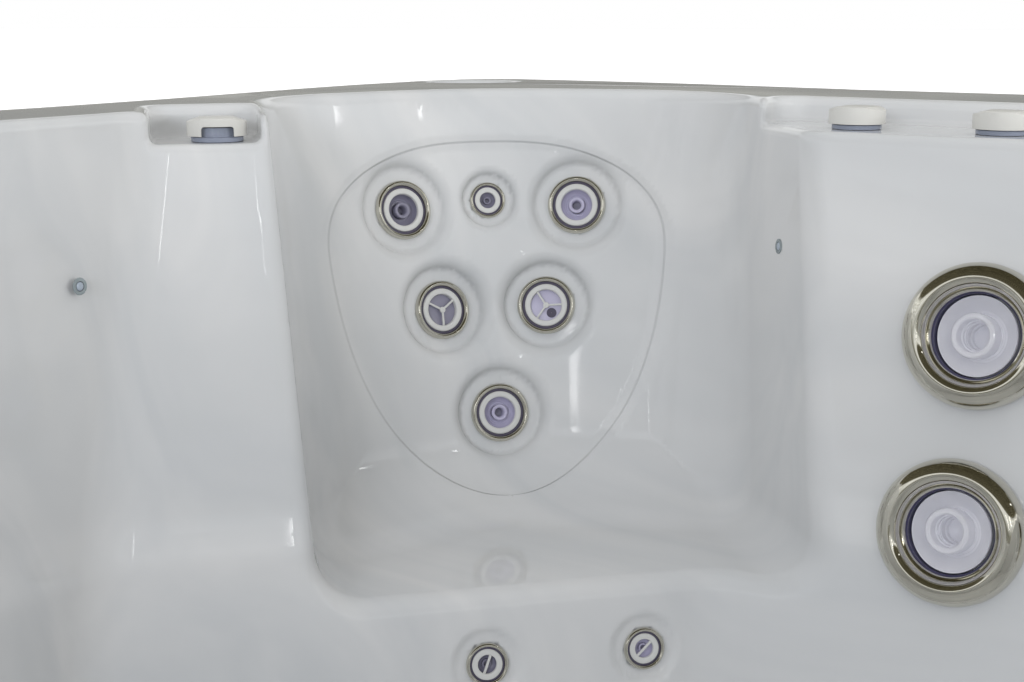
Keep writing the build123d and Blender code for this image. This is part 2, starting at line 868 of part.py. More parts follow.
def frame_rails():
    side_x, end_y = panel_inner_x() - post_size / 2, panel_inner_y() - post_size / 2
    low = rail_top() - post_size
    rails = [ground_box(side * side_x, 0, low, post_size, 2 * panel_inner_y(), post_size) for side in (-1, 1)]
    across = 2 * side_x - post_size
    rails += [ground_box(0, side * end_y, low, across, post_size, post_size) for side in (-1, 1)]
    span = side_x / 2 - post_size
    for side in (-1, 1):
        rails.append(ground_box(side * side_x / 4, end_y, mid_rail_height, span, post_size, post_size))
    notch = seat_hollow(shell_wall + pad_recess + dimple_depth + seat_gap)
    notch = notch + mirrored(notch)
    return [rail - notch for rail in rails]


def grooved(panel, width, height, low, facing):
    # Shallow level grooves, as between the boards of a clad panel.
    for row in range(1, panel_grooves + 1):
        z = low + height * row / (panel_grooves + 1)
        x, y = facing
        along_x, along_y = (width, 2 * panel_groove_depth) if y else (2 * panel_groove_depth, width)
        panel = panel - Pos(x, y, z) * Box(along_x, along_y, panel_groove_width)
    return panel


def screw_spots():
    # Outer panel faces where the screws meet a frame post.
    x, y = spa_width / 2 - cabinet_inset, spa_length / 2 - cabinet_inset
    side_x, end_y = panel_inner_x() - post_size / 2, panel_inner_y() - post_size / 2
    spots = []
    for z in (screw_low_height, spa_height - screw_top_drop):
        for share in long_post_shares[1:-1]:
            spots += [Plane(origin=(s * x, share * end_y, z), x_dir=(0, 1, 0), z_dir=(s, 0, 0))
                      for s in (-1, 1)]
        for share in end_post_shares:
            spots += [Plane(origin=(share * side_x, s * y, z), x_dir=(1, 0, 0), z_dir=(0, s, 0))
                      for s in (-1, 1)]
    return spots


def panel_screws():
    head = RegularPolygon(screw_head_diameter / 2, screw_head_sides)
    return [extrude(p * head, screw_head_height) +
            rod(p, screw_shank_diameter / 2, -panel_thickness, 0) for p in screw_spots()]


def drilled(panel):
    box = panel.bounding_box()
    for spot in screw_spots():
        x, y = spot.origin.X, spot.origin.Y
        beside = box.min.X - seat_gap < x < box.max.X + seat_gap
        if beside and box.min.Y - seat_gap < y < box.max.Y + seat_gap:
            bore = screw_shank_diameter / 2 + seat_gap
            panel = panel - rod(spot, bore, -2 * panel_thickness, panel_thickness)
    return panel


def side_panels():
    low, height = base_height, rail_top() - base_height
    length = spa_length - 2 * (cabinet_inset + corner_post_size + seat_gap)
    x = spa_width / 2 - cabinet_inset
    panels = []
    for side in (-1, 1):
        panel = ground_box(side * (x - panel_thickness / 2), 0, low, panel_thickness, length, height)
        panels.append(drilled(grooved(panel, length, height, low, (side * x, 0))))
    return panels


def end_panels():
    low, height = base_height, rail_top() - base_height
    width = spa_width - 2 * (cabinet_inset + corner_post_size + seat_gap)
    y = spa_length / 2 - cabinet_inset
    panels = []
    for side in (-1, 1):
        panel = ground_box(0, side * (y - panel_thickness / 2), low, width, panel_thickness, height)
        panel = drilled(grooved(panel, width, height, low, (0, side * y)))
        if side < 0:
            panel = panel - rod(cable_plane(), cable_bore_diameter / 2, -2 * panel_thickness,
                                panel_thickness)
            panel = panel - rod(drain_plane(), drain_body_diameter / 2 + seat_gap, -2 * panel_thickness,
                                panel_thickness)
        panels.append(panel)
    return panels


def corner_posts():
    low, height = base_height, rail_top() - base_height
    x, y = spa_width / 2 - cabinet_inset, spa_length / 2 - cabinet_inset
    outer = extrude(Pos(0, 0, low) * RectangleRounded(2 * x, 2 * y, corner_post_radius), height)
    outer = outer - ground_box(0, 0, low, 2 * panel_inner_x(), 2 * panel_inner_y(), height)
    outer = outer - ground_box(0, 0, low, 2 * (x - corner_post_size), spa_length, height)
    outer = outer - ground_box(0, 0, low, spa_width, 2 * (y - corner_post_size), height)
    return outer.solids()


def far_face_plane(x, z):
    return Plane(origin=(x, -spa_length / 2 + cabinet_inset, z), x_dir=(1, 0, 0), z_dir=(0, -1, 0))


def cable_plane():
    return far_face_plane(cable_place_share * panel_inner_x(), drain_height)


def drain_plane():
    return far_face_plane(drain_place_share * panel_inner_x(), drain_height)


def drain_valve():
    # A flanged body through the panel with a spigot outside.
    place = drain_plane()
    front = drain_flange_thickness + drain_body_length
    body = rod(place, drain_body_diameter / 2, -drain_tail, front)
    body = body + rod(place, drain_flange_diameter / 2, 0, drain_flange_thickness)
    body = body + rod(place, drain_outlet_diameter / 2, front, front + drain_outlet_length)
    body = body - rod(place, drain_bore / 2, -drain_tail, front + drain_outlet_length)
    return body - rod(lever_place(), drain_stem_diameter / 2 + seat_gap,
                      -drain_stem_depth - seat_gap, drain_stem_height)


def lever_place():
    # On top of the valve body, where its stem turns.
    o = drain_plane().origin
    return upright(o.X, o.Y - drain_flange_thickness - drain_body_length / 2,
                   o.Z + drain_body_diameter / 2)


def drain_lever():
    place = lever_place()
    stem = rod(place, drain_stem_diameter / 2, -drain_stem_depth, drain_stem_height)
    middle = drain_stem_height + drain_lever_thickness / 2
    bar = Pos(drain_lever_length / 2 - drain_stem_diameter, 0, middle) * Box(
        drain_lever_length, drain_lever_width, drain_lever_thickness)
    return stem + place * bar


def pump(x, y, side):
    # A round wet end with its motor behind it on a foot.
    z = pump_axis_height
    face = Plane(origin=(x, y, z), x_dir=(0, 1, 0), z_dir=(side, 0, 0))
    body = rod(face, pump_volute_diameter / 2, -pump_volute_width / 2, pump_volute_width / 2)
    body = body + rod(face, pump_motor_diameter / 2, 0, pump_volute_width / 2 + pump_motor_length)
    top = upright(x, y, z)
    body = body + rod(top, riser_diameter / 2 + jet_body_wall, 0, pump_volute_diameter / 2 + pump_outlet_rise)
    foot_x = x + side * (pump_volute_width / 2 + pump_foot_reach)
    return body + ground_box(foot_x, y, base_floor, pump_foot_width, pump_foot_width, z - base_floor)


def bay_y():
    # The line of the pumps and risers, behind the swim-jet column.
    return jet_end() - riser_setback


def pumps():
    y = bay_y()
    return [pump(-swim_jet_spread, y, -1), pump(swim_jet_spread, y, 1), pump(massage_pump_reach, y, 1)]


def risers():
    # A riser on each swim pump, with a branch to the back of each jet above it.
    pipes = []
    start = pump_axis_height + pump_volute_diameter / 2 + pump_outlet_rise
    for side in (-1, 1):
        top = spa_height - swim_upper_depth - riser_drop
        pipe = rod(upright(side * swim_jet_spread, bay_y(), start), riser_diameter / 2, 0, top - start)
        for depth in (swim_upper_depth, swim_lower_depth):
            place = swim_place(side * swim_jet_spread, depth)
            reach = (bay_y() - place.origin.Y) / cos(radians(column_slope))
            pipe = pipe + rod(place, branch_diameter / 2, -reach, -swim_body_length)
        pipes.append(pipe)
    return pipes


def rail_face():
    return panel_inner_y() - post_size


def control_box():
    y = rail_face() - control_box_depth / 2
    low = mid_rail_height - control_box_height / 4
    box = ground_box(0, y, low, control_box_width, control_box_depth, control_box_height)
    return fillet(box.edges().filter_by(Axis.Z), control_box_depth / 12)


def heater():
    # A tube under the control box, hung from two saddles.
    y = rail_face() - control_box_depth / 2
    low = mid_rail_height - control_box_height / 4
    z = low - heater_gap - heater_diameter / 2
    place = Plane(origin=(-heater_length / 2, y, z), x_dir=(0, 1, 0), z_dir=(1, 0, 0))
    tube = rod(place, heater_diameter / 2, 0, heater_length)
    for side in (-1, 1):
        x = side * control_box_width / 3
        tube = tube + ground_box(x, y, z, heater_saddle_width, heater_diameter, low - z)
    return tube


def nodes():
    # Every named piece; a group of like pieces shares one name.
    parts = {"shell": shell(), "base_pan": base_pan(), "frame_posts": frame_posts(),
             "frame_rails": frame_rails(), "cabinet_side_panels": side_panels(),
             "cabinet_end_panels": end_panels(), "corner_posts": corner_posts(),
             "panel_screws": panel_screws(), "seat_jet_bodies": jet_bodies(),
             "seat_jet_rings": jet_rings(), "swim_jet_bodies": swim_bodies(),
             "swim_jet_rings": swim_rings(), "knob_collars": knob_collars(),
             "diverter_valves": valves(), "light_lenses": lights(), "filter_cartridges": cartridges(),
             "skimmer_plate": skimmer_plate(), "weir_flap": weir_flap(), "filter_lid": filter_lid(),
             "suction_covers": suction_covers(), "keypad": keypad(), "pumps": pumps(),
             "riser_pipes": risers(), "control_box": control_box(), "heater": heater(),
             "drain_valve": drain_valve(), "drain_lever": drain_lever()}
    for index in range(button_count):
        parts[f"keypad_button_{index + 1}"] = keypad_button(index)
    for index, place in enumerate(swim_jets()):
        parts[f"swim_nozzle_{index + 1}"] = swim_nozzle(place)
    for index, place in enumerate(knob_places()):
        parts[f"diverter_knob_{index + 1}"] = knob_cap(place)
    for index, place in enumerate(large_jets()):
        piece = jet_insert(place, 1, index in rotor_jets)
        parts[f"left_jet_{index + 1}"], parts[f"right_jet_{index + 1}"] = piece, mirrored(piece)
        if index in rotor_jets:
            wheel = rotor(place)
            parts[f"left_rotor_{index + 1}"], parts[f"right_rotor_{index + 1}"] = wheel, mirrored(wheel)
    back, *calves = small_jets()
    smalls = [jet_insert(back, small_jet_share, False)] + [calf_insert(place) for place in calves]
    for name, piece in zip(small_jet_names, smalls):
        parts[f"left_{name}"], parts[f"right_{name}"] = piece, mirrored(piece)
    return parts


def main():
    os.makedirs("parts", exist_ok=True)
    for name, shape in nodes().items():
        whole = Compound(children=list(shape)) if isinstance(shape, list) else shape
        export_step(whole, f"parts/{name}.step")


if __name__ == "__main__":
    main()
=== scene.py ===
import json
import math

import bpy
import numpy as np
from mathutils import Matrix, Vector


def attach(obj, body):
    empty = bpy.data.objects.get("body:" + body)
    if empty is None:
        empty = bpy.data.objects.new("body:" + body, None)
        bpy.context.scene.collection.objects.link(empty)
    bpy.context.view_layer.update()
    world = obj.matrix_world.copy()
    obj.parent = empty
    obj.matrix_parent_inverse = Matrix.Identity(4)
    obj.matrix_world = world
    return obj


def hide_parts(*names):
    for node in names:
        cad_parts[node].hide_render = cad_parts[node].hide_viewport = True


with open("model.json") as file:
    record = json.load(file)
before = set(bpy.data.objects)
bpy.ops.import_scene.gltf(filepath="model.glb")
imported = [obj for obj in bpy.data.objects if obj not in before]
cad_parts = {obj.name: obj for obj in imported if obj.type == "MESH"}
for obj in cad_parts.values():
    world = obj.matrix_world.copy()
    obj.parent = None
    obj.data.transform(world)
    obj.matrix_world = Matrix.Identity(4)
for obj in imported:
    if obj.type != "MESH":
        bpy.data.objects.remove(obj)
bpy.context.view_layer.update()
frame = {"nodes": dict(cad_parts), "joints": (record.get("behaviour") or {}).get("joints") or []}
joints = {joint["name"]: joint for joint in frame["joints"]}
print("frame loaded:", len(frame["nodes"]), "nodes")


# small helpers

def hexColor(code):
    # an sRGB hex value as the linear colour that Blender works in
    parts = [int(code[i:i + 2], 16) / 255 for i in (0, 2, 4)]
    linear = [p / 12.92 if p <= 0.04045 else ((p + 0.055) / 1.055) ** 2.4 for p in parts]
    return (*linear, 1.0)


def addNode(tree, kind, settings=None):
    # one node with its settings; an output is linked, and a node stands for its first output
    node = tree.nodes.new("ShaderNode" + kind)
    for key, value in (settings or {}).items():
        if isinstance(value, bpy.types.Node):
            value = value.outputs[0]
        if isinstance(value, bpy.types.NodeSocket):
            tree.links.new(value, node.inputs[key])
        elif isinstance(key, int) or key in node.inputs:
            node.inputs[key].default_value = value
        else:
            setattr(node, key, value)
    return node


def newMaterial(name):
    # an empty material, its tree and the place on the piece, in the piece's own metres
    material = bpy.data.materials.new(name)
    material.use_nodes = True
    tree = material.node_tree
    tree.nodes.clear()
    return material, tree, addNode(tree, "TexCoord").outputs["Object"]


def finishMaterial(material, shader):
    addNode(material.node_tree, "OutputMaterial", {"Surface": shader})
    return material


def fillRamp(ramp, stops):
    # sets a colour ramp's stops, each a position and a tint
    elements = ramp.color_ramp.elements
    for element, (place, tint) in zip(elements, (stops[0], stops[-1])):
        element.position, element.color = place, hexColor(tint)
    for place, tint in stops[1:-1]:
        elements.new(place).color = hexColor(tint)


def dress(obj, material):
    # gives a piece its one finish
    obj.data.materials.clear()
    obj.data.materials.append(material)


def selectOnly(obj):
    bpy.ops.object.select_all(action="DESELECT")
    bpy.context.view_layer.objects.active = obj
    obj.select_set(True)


def addNew(operator, **settings):
    # a new object, added with nothing else selected
    bpy.ops.object.select_all(action="DESELECT")
    operator(**settings)
    return bpy.context.active_object


def removeAll(pieces):
    for piece in pieces:
        bpy.data.objects.remove(piece)


def editMode(obj):
    selectOnly(obj)
    bpy.ops.object.mode_set(mode="EDIT")
    bpy.ops.mesh.select_all(action="SELECT")


def objectMode():
    bpy.ops.object.mode_set(mode="OBJECT")


def smooth(obj, angle=30):
    selectOnly(obj)
    bpy.ops.object.shade_smooth_by_angle(angle=math.radians(angle), keep_sharp_edges=False)


def bevelEdges(obj, width, segments, angle=30):
    # rounds the edges that are sharper than the angle, for the active piece
    bevel = obj.modifiers.new("softEdge", "BEVEL")
    bevel.width, bevel.segments = width, segments
    bevel.limit_method, bevel.angle_limit = "ANGLE", math.radians(angle)
    bpy.ops.object.modifier_apply(modifier=bevel.name)


def placeOf(jointName):
    # where a turning piece sits: its joint's point, with Z along the joint's axis
    joint = joints[jointName]
    turn = Vector(joint["axis"]).to_track_quat("Z", "Y").to_matrix().to_4x4()
    return Matrix.Translation(Vector(joint["pos_m"])) @ turn


def fit(obj, name, body, material, nodes=()):
    # names a finished piece, gives it its body, finish and the CAD nodes that it stands for
    obj.name = name
    obj.data.name = name
    dress(obj, material)
    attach(obj, body)
    if nodes:
        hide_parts(*nodes)


def copyAt(master, place):
    # a copy with its own mesh, its place kept in the mesh
    copy = bpy.data.objects.new(master.name, master.data.copy())
    bpy.context.collection.objects.link(copy)
    copy.data.transform(place)
    return copy


def joinAll(pieces):
    bpy.ops.object.select_all(action="DESELECT")
    for piece in pieces:
        piece.select_set(True)
    bpy.context.view_layer.objects.active = pieces[0]
    bpy.ops.object.join()
    return pieces[0]


def rounded(outline, radius, steps=4):
    # rounds each corner of a closed outline of (radius, height) points
    result = []
    count = len(outline)
    for i, point in enumerate(outline):
        before, after = Vector(outline[i - 1]), Vector(outline[(i + 1) % count])
        here = Vector(point)
        size = min(radius, (before - here).length * 0.45, (after - here).length * 0.45)
        start = here + (before - here).normalized() * size
        end = here + (after - here).normalized() * size
        for k in range(steps + 1):
            t = k / steps
            spot = start * (1 - t) ** 2 + here * 2 * t * (1 - t) + end * t * t
            result.append((spot.x, spot.y))
    return result


def lathe(outline, segments=64):
    # a circle pulled through the outline's points and back to the first, as a turned ring
    radius, height = outline[0]
    obj = addNew(bpy.ops.mesh.primitive_circle_add, vertices=segments, radius=radius, location=(0, 0, height))
    bpy.ops.object.transform_apply(location=True)
    editMode(obj)
    for nextRadius, nextHeight in outline[1:] + outline[:1]:
        bpy.ops.mesh.extrude_region_move(TRANSFORM_OT_translate={"value": (0, 0, nextHeight - height)})
        scale = nextRadius / radius
        bpy.ops.transform.resize(value=(scale, scale, 1), center_override=(0, 0, nextHeight))
        radius, height = nextRadius, nextHeight
    bpy.ops.mesh.select_all(action="SELECT")
    bpy.ops.mesh.remove_doubles(threshold=0.000002)
    bpy.ops.mesh.normals_make_consistent(inside=False)
    objectMode()
    smooth(obj)
    return obj


# camera: stands over the pool and looks at the corner seat

cameraSize = {
    "place": (0.262, -0.119, 1.455),
    "azimuth": 32.0,          # degrees left of the spa's length
    "pitch": 12.76,           # degrees below level
    "lens": 49.2,
}


def addCamera():
    turn = (math.radians(90 - cameraSize["pitch"]), 0, math.radians(cameraSize["azimuth"]))
    camera = addNew(bpy.ops.object.camera_add, location=cameraSize["place"], rotation=turn)
    camera.data.lens = cameraSize["lens"]
    camera.data.sensor_width = 36
    camera.data.clip_start = 0.01
    bpy.context.scene.camera = camera


addCamera()
print("camera set")


# materials

padSize = {
    "rimInner": 1.03, "jetEnd": 1.845, "height": 1.35, "offset": -0.025, "top": 0.072, "bottom": 0.585,
    "half": 0.262, "taper": 2.6, "arch": 0.09, "corner": 0.09, "edge": 0.0022, "step": 0.0022,
}


def padStep(tree, here):
    # height of the seat pad's fine step, about 4 mm wide, from the piece's own coordinates;
    # each row below is a result, its operation and its terms: numbers or earlier results
    pad = padSize
    rows = (
        ("absX", "ABSOLUTE", "X"), ("fromEnd", "SUBTRACT", pad["rimInner"] - pad["jetEnd"], "absX"),
        ("across", "ADD", "fromEnd", "Y"), ("turned", "MULTIPLY", "across", math.sqrt(0.5)),
        ("s", "SUBTRACT", "turned", pad["offset"]), ("away", "ABSOLUTE", "s"),
        ("depth", "SUBTRACT", pad["height"], "Z"), ("down", "SUBTRACT", "depth", pad["top"]),
        ("share", "DIVIDE", "down", pad["bottom"] - pad["top"]), ("positive", "MAXIMUM", "share", 0.0),
        ("bounded", "MINIMUM", "positive", 1.0), ("power", "POWER", "bounded", pad["taper"]),
        ("rest", "SUBTRACT", 1.0, "power"), ("root", "SQRT", "rest"), ("half", "MULTIPLY", "root", pad["half"]),
        ("past", "SUBTRACT", "depth", pad["bottom"]), ("below", "MAXIMUM", "past", 0.0),
        ("gap", "SUBTRACT", "away", "half"), ("side", "ADD", "gap", "below"),
        ("ratio", "DIVIDE", "away", pad["half"]), ("cube", "POWER", "ratio", 3.0),
        ("arch", "MULTIPLY", "cube", pad["arch"]), ("crown", "ADD", "arch", pad["top"]),
        ("top", "SUBTRACT", "crown", "depth"), ("outside", "SMOOTH_MAX", "side", "top", pad["corner"]),
    )
    parts = addNode(tree, "SeparateXYZ", {0: here})
    found = {axis: parts.outputs[axis] for axis in "XYZ"}
    for result, operation, *terms in rows:
        settings = {i: found.get(term, term) for i, term in enumerate(terms)}
        found[result] = addNode(tree, "Math", {"operation": operation, **settings})
    return addNode(tree, "MapRange", {
        "interpolation_type": "SMOOTHSTEP", "From Min": -pad["edge"], "From Max": pad["edge"],
        "Value": found["outside"]})


def acrylicSheet():
    # cast acrylic sheet, vacuum formed: very glossy pearl white, faint slanting veils a hand wide
    material, tree, here = newMaterial("castAcrylicPearl")
    slant = addNode(tree, "Mapping", {"Rotation": (0.3, 0.5, 0.7), "Scale": (0.8, 6.0, 2.4), "Vector": here})
    veil = addNode(tree, "TexNoise", {
        "Scale": 1.3, "Detail": 3.0, "Roughness": 0.5, "Distortion": 0.9, "Vector": slant})
    ramp = addNode(tree, "ValToRGB", {"Fac": veil})
    fillRamp(ramp, ((0.30, "C7C9CA"), (0.72, "D7D7D6")))
    relief = addNode(tree, "Bump", {
        "Strength": 1.0, "Distance": padSize["step"], "Height": padStep(tree, here)})
    shader = addNode(tree, "BsdfPrincipled", {
        "Roughness": 0.045, "IOR": 1.49, "Specular IOR Level": 0.5, "Base Color": ramp, "Normal": relief})
    return finishMaterial(material, shader)


def polishedSteel():
    # polished stainless: sharp reflections with fine polishing marks about 0.5 mm apart
    material, tree, here = newMaterial("polishedStainless")
    rough = 0.045
    grain = addNode(tree, "TexNoise", {"Scale": 900.0, "Detail": 2.0, "Vector": here})
    roughness = addNode(tree, "MapRange", {"To Min": rough * 0.7, "To Max": rough * 1.5, "Value": grain})
    shader = addNode(tree, "BsdfPrincipled", {
        "Base Color": hexColor("D3D0C5"), "Metallic": 1.0, "Roughness": roughness})
    return finishMaterial(material, shader)


def mouldedPlastic(name, dark, light, rough, grainScale, bump):
    # injection-moulded plastic: slight colour drift and a fine moulded grain
    material, tree, here = newMaterial(name)
    drift = addNode(tree, "TexNoise", {"Scale": 14.0, "Detail": 3.0, "Vector": here})
    color = addNode(tree, "Mix", {"data_type": "RGBA", 6: hexColor(dark), 7: hexColor(light), 0: drift})
    grain = addNode(tree, "TexNoise", {"Scale": grainScale, "Detail": 2.0, "Vector": here})
    relief = addNode(tree, "Bump", {"Strength": bump, "Distance": 0.0002, "Height": grain})
    shader = addNode(tree, "BsdfPrincipled", {
        "Roughness": rough, "IOR": 1.5, "Base Color": color.outputs[2], "Normal": relief})
    return finishMaterial(material, shader)


def clearPlastic(name, tint, rough=0.12, clear=0.55):
    # tinted clear polycarbonate: light passes, with a milky lavender body
    material, tree, here = newMaterial(name)
    cloud = addNode(tree, "TexNoise", {"Scale": 40.0, "Detail": 3.0, "Vector": here})
    relief = addNode(tree, "Bump", {"Strength": 0.25, "Distance": 0.0008, "Height": cloud})
    shader = addNode(tree, "BsdfPrincipled", {
        "Base Color": hexColor(tint), "Roughness": rough, "IOR": 1.58, "Transmission Weight": clear,
        "Normal": relief})
    return finishMaterial(material, shader)


def clearBowlPlastic():
    # clear polycarbonate of the swim jets: half see-through, half milky, with a lavender cast, and a faint
    # painted glow that lightens the bowl in its shaded hollow
    material, tree, here = newMaterial("clearPolycarbonate")
    cloud = addNode(tree, "TexNoise", {"Scale": 30.0, "Detail": 2.0, "Vector": here})
    color = addNode(tree, "Mix", {"data_type": "RGBA", 6: hexColor("E4E4EA"), 7: hexColor("F6F6F8"), 0: cloud})
    # the small emission is painted light: it brightens the bowl where its hollow lies in shade
    shader = addNode(tree, "BsdfPrincipled", {
        "Roughness": 0.04, "IOR": 1.58, "Transmission Weight": 0.4, "Specular IOR Level": 1.0,
        "Emission Color": hexColor("CCCCD8"), "Emission Strength": 0.08, "Base Color": color.outputs[2]})
    return finishMaterial(material, shader)


def brushedMetal(name, tint, rough):
    # rolled sheet or bar: long fine scratches about 1 mm apart along one way
    material, tree, here = newMaterial(name)
    slant = addNode(tree, "Mapping", {"Scale": (20.0, 900.0, 900.0), "Vector": here})
    grain = addNode(tree, "TexNoise", {"Scale": 1.0, "Detail": 3.0, "Vector": slant})
    roughness = addNode(tree, "MapRange", {"To Min": rough * 0.7, "To Max": rough * 1.4, "Value": grain})
    relief = addNode(tree, "Bump", {"Strength": 0.15, "Distance": 0.0003, "Height": grain})
    shader = addNode(tree, "BsdfPrincipled", {
        "Base Color": hexColor(tint), "Metallic": 1.0, "Roughness": roughness, "Normal": relief})
    return finishMaterial(material, shader)


def cladding():
    # wood-grain composite boards, grain along the board about 6 mm wide
    material, tree, here = newMaterial("compositeCladding")
    along = addNode(tree, "Mapping", {"Scale": (3.0, 3.0, 160.0), "Vector": here})
    grain = addNode(tree, "TexNoise", {
        "Scale": 1.0, "Detail": 6.0, "Roughness": 0.6, "Distortion": 0.6, "Vector": along})
    color = addNode(tree, "Mix", {"data_type": "RGBA", 6: hexColor("5A554F"), 7: hexColor("7C766E"), 0: grain})
    relief = addNode(tree, "Bump", {"Strength": 0.4, "Distance": 0.0006, "Height": grain})
    shader = addNode(tree, "BsdfPrincipled", {
        "Roughness": 0.62, "Base Color": color.outputs[2], "Normal": relief})
    return finishMaterial(material, shader)


def filterFleece():
    # pleated fleece: folds 5 mm apart round each cartridge
    material, tree, here = newMaterial("pleatedFleece")
    folds = addNode(tree, "TexWave", {"Scale": 30.0, "Distortion": 0.3, "bands_direction": "X", "Vector": here})
    color = addNode(tree, "Mix", {
        "data_type": "RGBA", 6: hexColor("B9BEC4"), 7: hexColor("E6E8EA"), 0: folds.outputs["Fac"]})
    shader = addNode(tree, "BsdfPrincipled", {"Roughness": 0.9, "Base Color": color.outputs[2]})
    return finishMaterial(material, shader)


acrylic = acrylicSheet()
steel = polishedSteel()
facePlastic = mouldedPlastic("jetFaceAbs", "CBCBC8", "D3D3D0", 0.35, 700.0, 0.15)
knobPlastic = mouldedPlastic("knobAbs", "CFCEC8", "D7D6D1", 0.32, 600.0, 0.15)
gapPlastic = mouldedPlastic("bearingRingNylon", "4C4859", "5A5568", 0.35, 500.0, 0.2)
darkPlastic = mouldedPlastic("jetBodyPvc", "35334F", "444164", 0.3, 500.0, 0.2)
smokeLavender = clearPlastic("smokedPolycarbonate", "8F8D9F", 0.16, 0.12)
paleLavender = clearPlastic("lavenderPolycarbonate", "C2BED6", 0.14, 0.12)
clearBowl = clearBowlPlastic()
clearBlue = clearPlastic("collarPolycarbonate", "9AA1B2", 0.08, 0.2)
lensClear = clearPlastic("washerPolycarbonate", "AEB9BC", 0.08, 0.45)
lensBright = clearPlastic("lensPolycarbonate", "C6D2E0", 0.05, 0.3)
pipePlastic = mouldedPlastic("whitePipePvc", "DADAD6", "E4E4E0", 0.4, 300.0, 0.2)
trimPlastic = mouldedPlastic("trimAbs", "B9BBBD", "C2C4C5", 0.35, 500.0, 0.2)
blackPlastic = mouldedPlastic("basePolyethylene", "1D1E20", "27282A", 0.6, 180.0, 0.6)
buttonPlastic = mouldedPlastic("buttonSilicone", "D8DADB", "E2E4E5", 0.5, 800.0, 0.2)
pumpPlastic = mouldedPlastic("pumpNylon", "2B3036", "343A41", 0.45, 220.0, 0.5)
boxPaint = mouldedPlastic("powderCoat", "9EA3A6", "A8ADB0", 0.5, 400.0, 0.5)
redPlastic = mouldedPlastic("leverNylon", "A32418", "B02C1E", 0.35, 400.0, 0.2)
frameSteel = brushedMetal("galvanizedSteel", "9A9FA3", 0.38)
screwSteel = brushedMetal("screwStainless", "B6B5B0", 0.28)
heaterSteel = brushedMetal("heaterStainless", "BAB9B4", 0.25)
boards = cladding()
fleece = filterFleece()
print("materials ready")


# the moulded shell
# It is worked out as the surface round the water, with every edge rounded, because
# the sheet is drawn over a mould in one piece and the photograph shows only soft edges.

shellSize = {
    "halfWidth": 1.22, "halfLength": 2.135, "height": 1.35, "cornerRound": 0.13,
    "rimInner": 1.03, "jetEnd": 1.845, "farEnd": -1.795, "lipDrop": 0.075, "sheet": 0.012,
    "floor": 0.20, "benchFloor": 0.79, "benchReach": 0.42, "poolRound": 0.09, "wallBlend": 0.03,
    "columnDepth": 0.175, "columnSlope": 14, "sideDraft": 3, "farDraft": 5,
    "facetDistance": 0.523, "facetSlope": 12,
    "rimRound": 0.014, "outerRound": 0.012, "nicheRound": 0.022,
    "crown": 0.008, "crownReach": 0.75, "lipFold": 0.02, "lipBand": 0.02, "lipX": 1.19, "lipY": 2.10,
    "fine": 0.007, "quickFine": 0.016, "slopeStep": 0.003,
}
seatSize = {
    "offset": -0.025, "halfWidth": 0.35, "sideDraft": 3.3, "depth": 0.61,
    "backDistance": 0.155, "recline": 15, "wingStart": 0.062, "wingAngle": 18,
    "cornerRound": 0.11, "floorRound": 0.06, "wingSoft": 0.02,
    "padStep": 0.004, "padEdge": 0.024,
    "dimple": 0.065, "dimpleRound": 0.018, "dimpleFoot": 0.004, "dimpleReach": 0.15, "small": 0.62,
    "hole": 0.0385, "holeDeep": 0.045, "swimHole": 0.064, "swimDeep": 0.068, "swimReach": 0.12,
}
ledgeSize = {
    "shelfHalf": 0.50, "shelfBack": 1.86, "shelfDrop": 0.033, "shelfRound": 0.04,
    "pocketT": 0.47, "pocketS": -0.452, "pocketLong": 0.15, "pocketWide": 0.136,
    "pocketDrop": 0.04, "pocketRound": 0.028,
    "dishX": -1.118, "dishY": 1.956, "dishRadius": 0.075, "dishDrop": 0.022,
    "wellX": 0.21, "wellFrom": -2.015, "wellTo": -1.85, "wellDepth": 0.505, "wellRound": 0.024,
    "mouthX": 0.13, "mouthTop": 0.06, "mouthHigh": 0.12, "mouthTo": -1.7,
    "shelfFoot": 0.008, "edge": 0.012, "pocketEdge": 0.010, "mouthEdge": 0.006,
}


def roundMax(a, b, r):
    # the part inside both, with their edge rounded to radius r
    return np.minimum(-r, np.maximum(a, b)) + np.hypot(np.maximum(r + a, 0), np.maximum(r + b, 0))


def roundMin(a, b, r):
    return -roundMax(-a, -b, r)


def softMax(a, b, reach):
    # the same for walls that meet at a shallow angle
    return np.maximum(a, b) + np.maximum(reach - np.abs(a - b), 0) ** 2 / (4 * reach)


def wall(x, y, z, px, py, nx, ny, slope):
    # distance outside a wall through a point of the rim, leaning in towards the floor
    flat = ((x - px) * nx + (y - py) * ny) / math.hypot(nx, ny)
    lean = math.radians(slope)
    return flat * math.cos(lean) - (z - shellSize["height"]) * math.sin(lean)


def box2(x, y, halfX, halfY, r):
    # an upright rounded rectangle
    dx, dy = np.abs(x) - halfX + r, np.abs(y) - halfY + r
    return np.hypot(np.maximum(dx, 0), np.maximum(dy, 0)) + np.minimum(np.maximum(dx, dy), 0) - r


def seatAxes(x, y):
    # t runs from the rim corner along the seat's axis, s across it
    a, b = x + shellSize["rimInner"], shellSize["jetEnd"] - y
    return (a + b) / math.sqrt(2), (a - b) / math.sqrt(2)


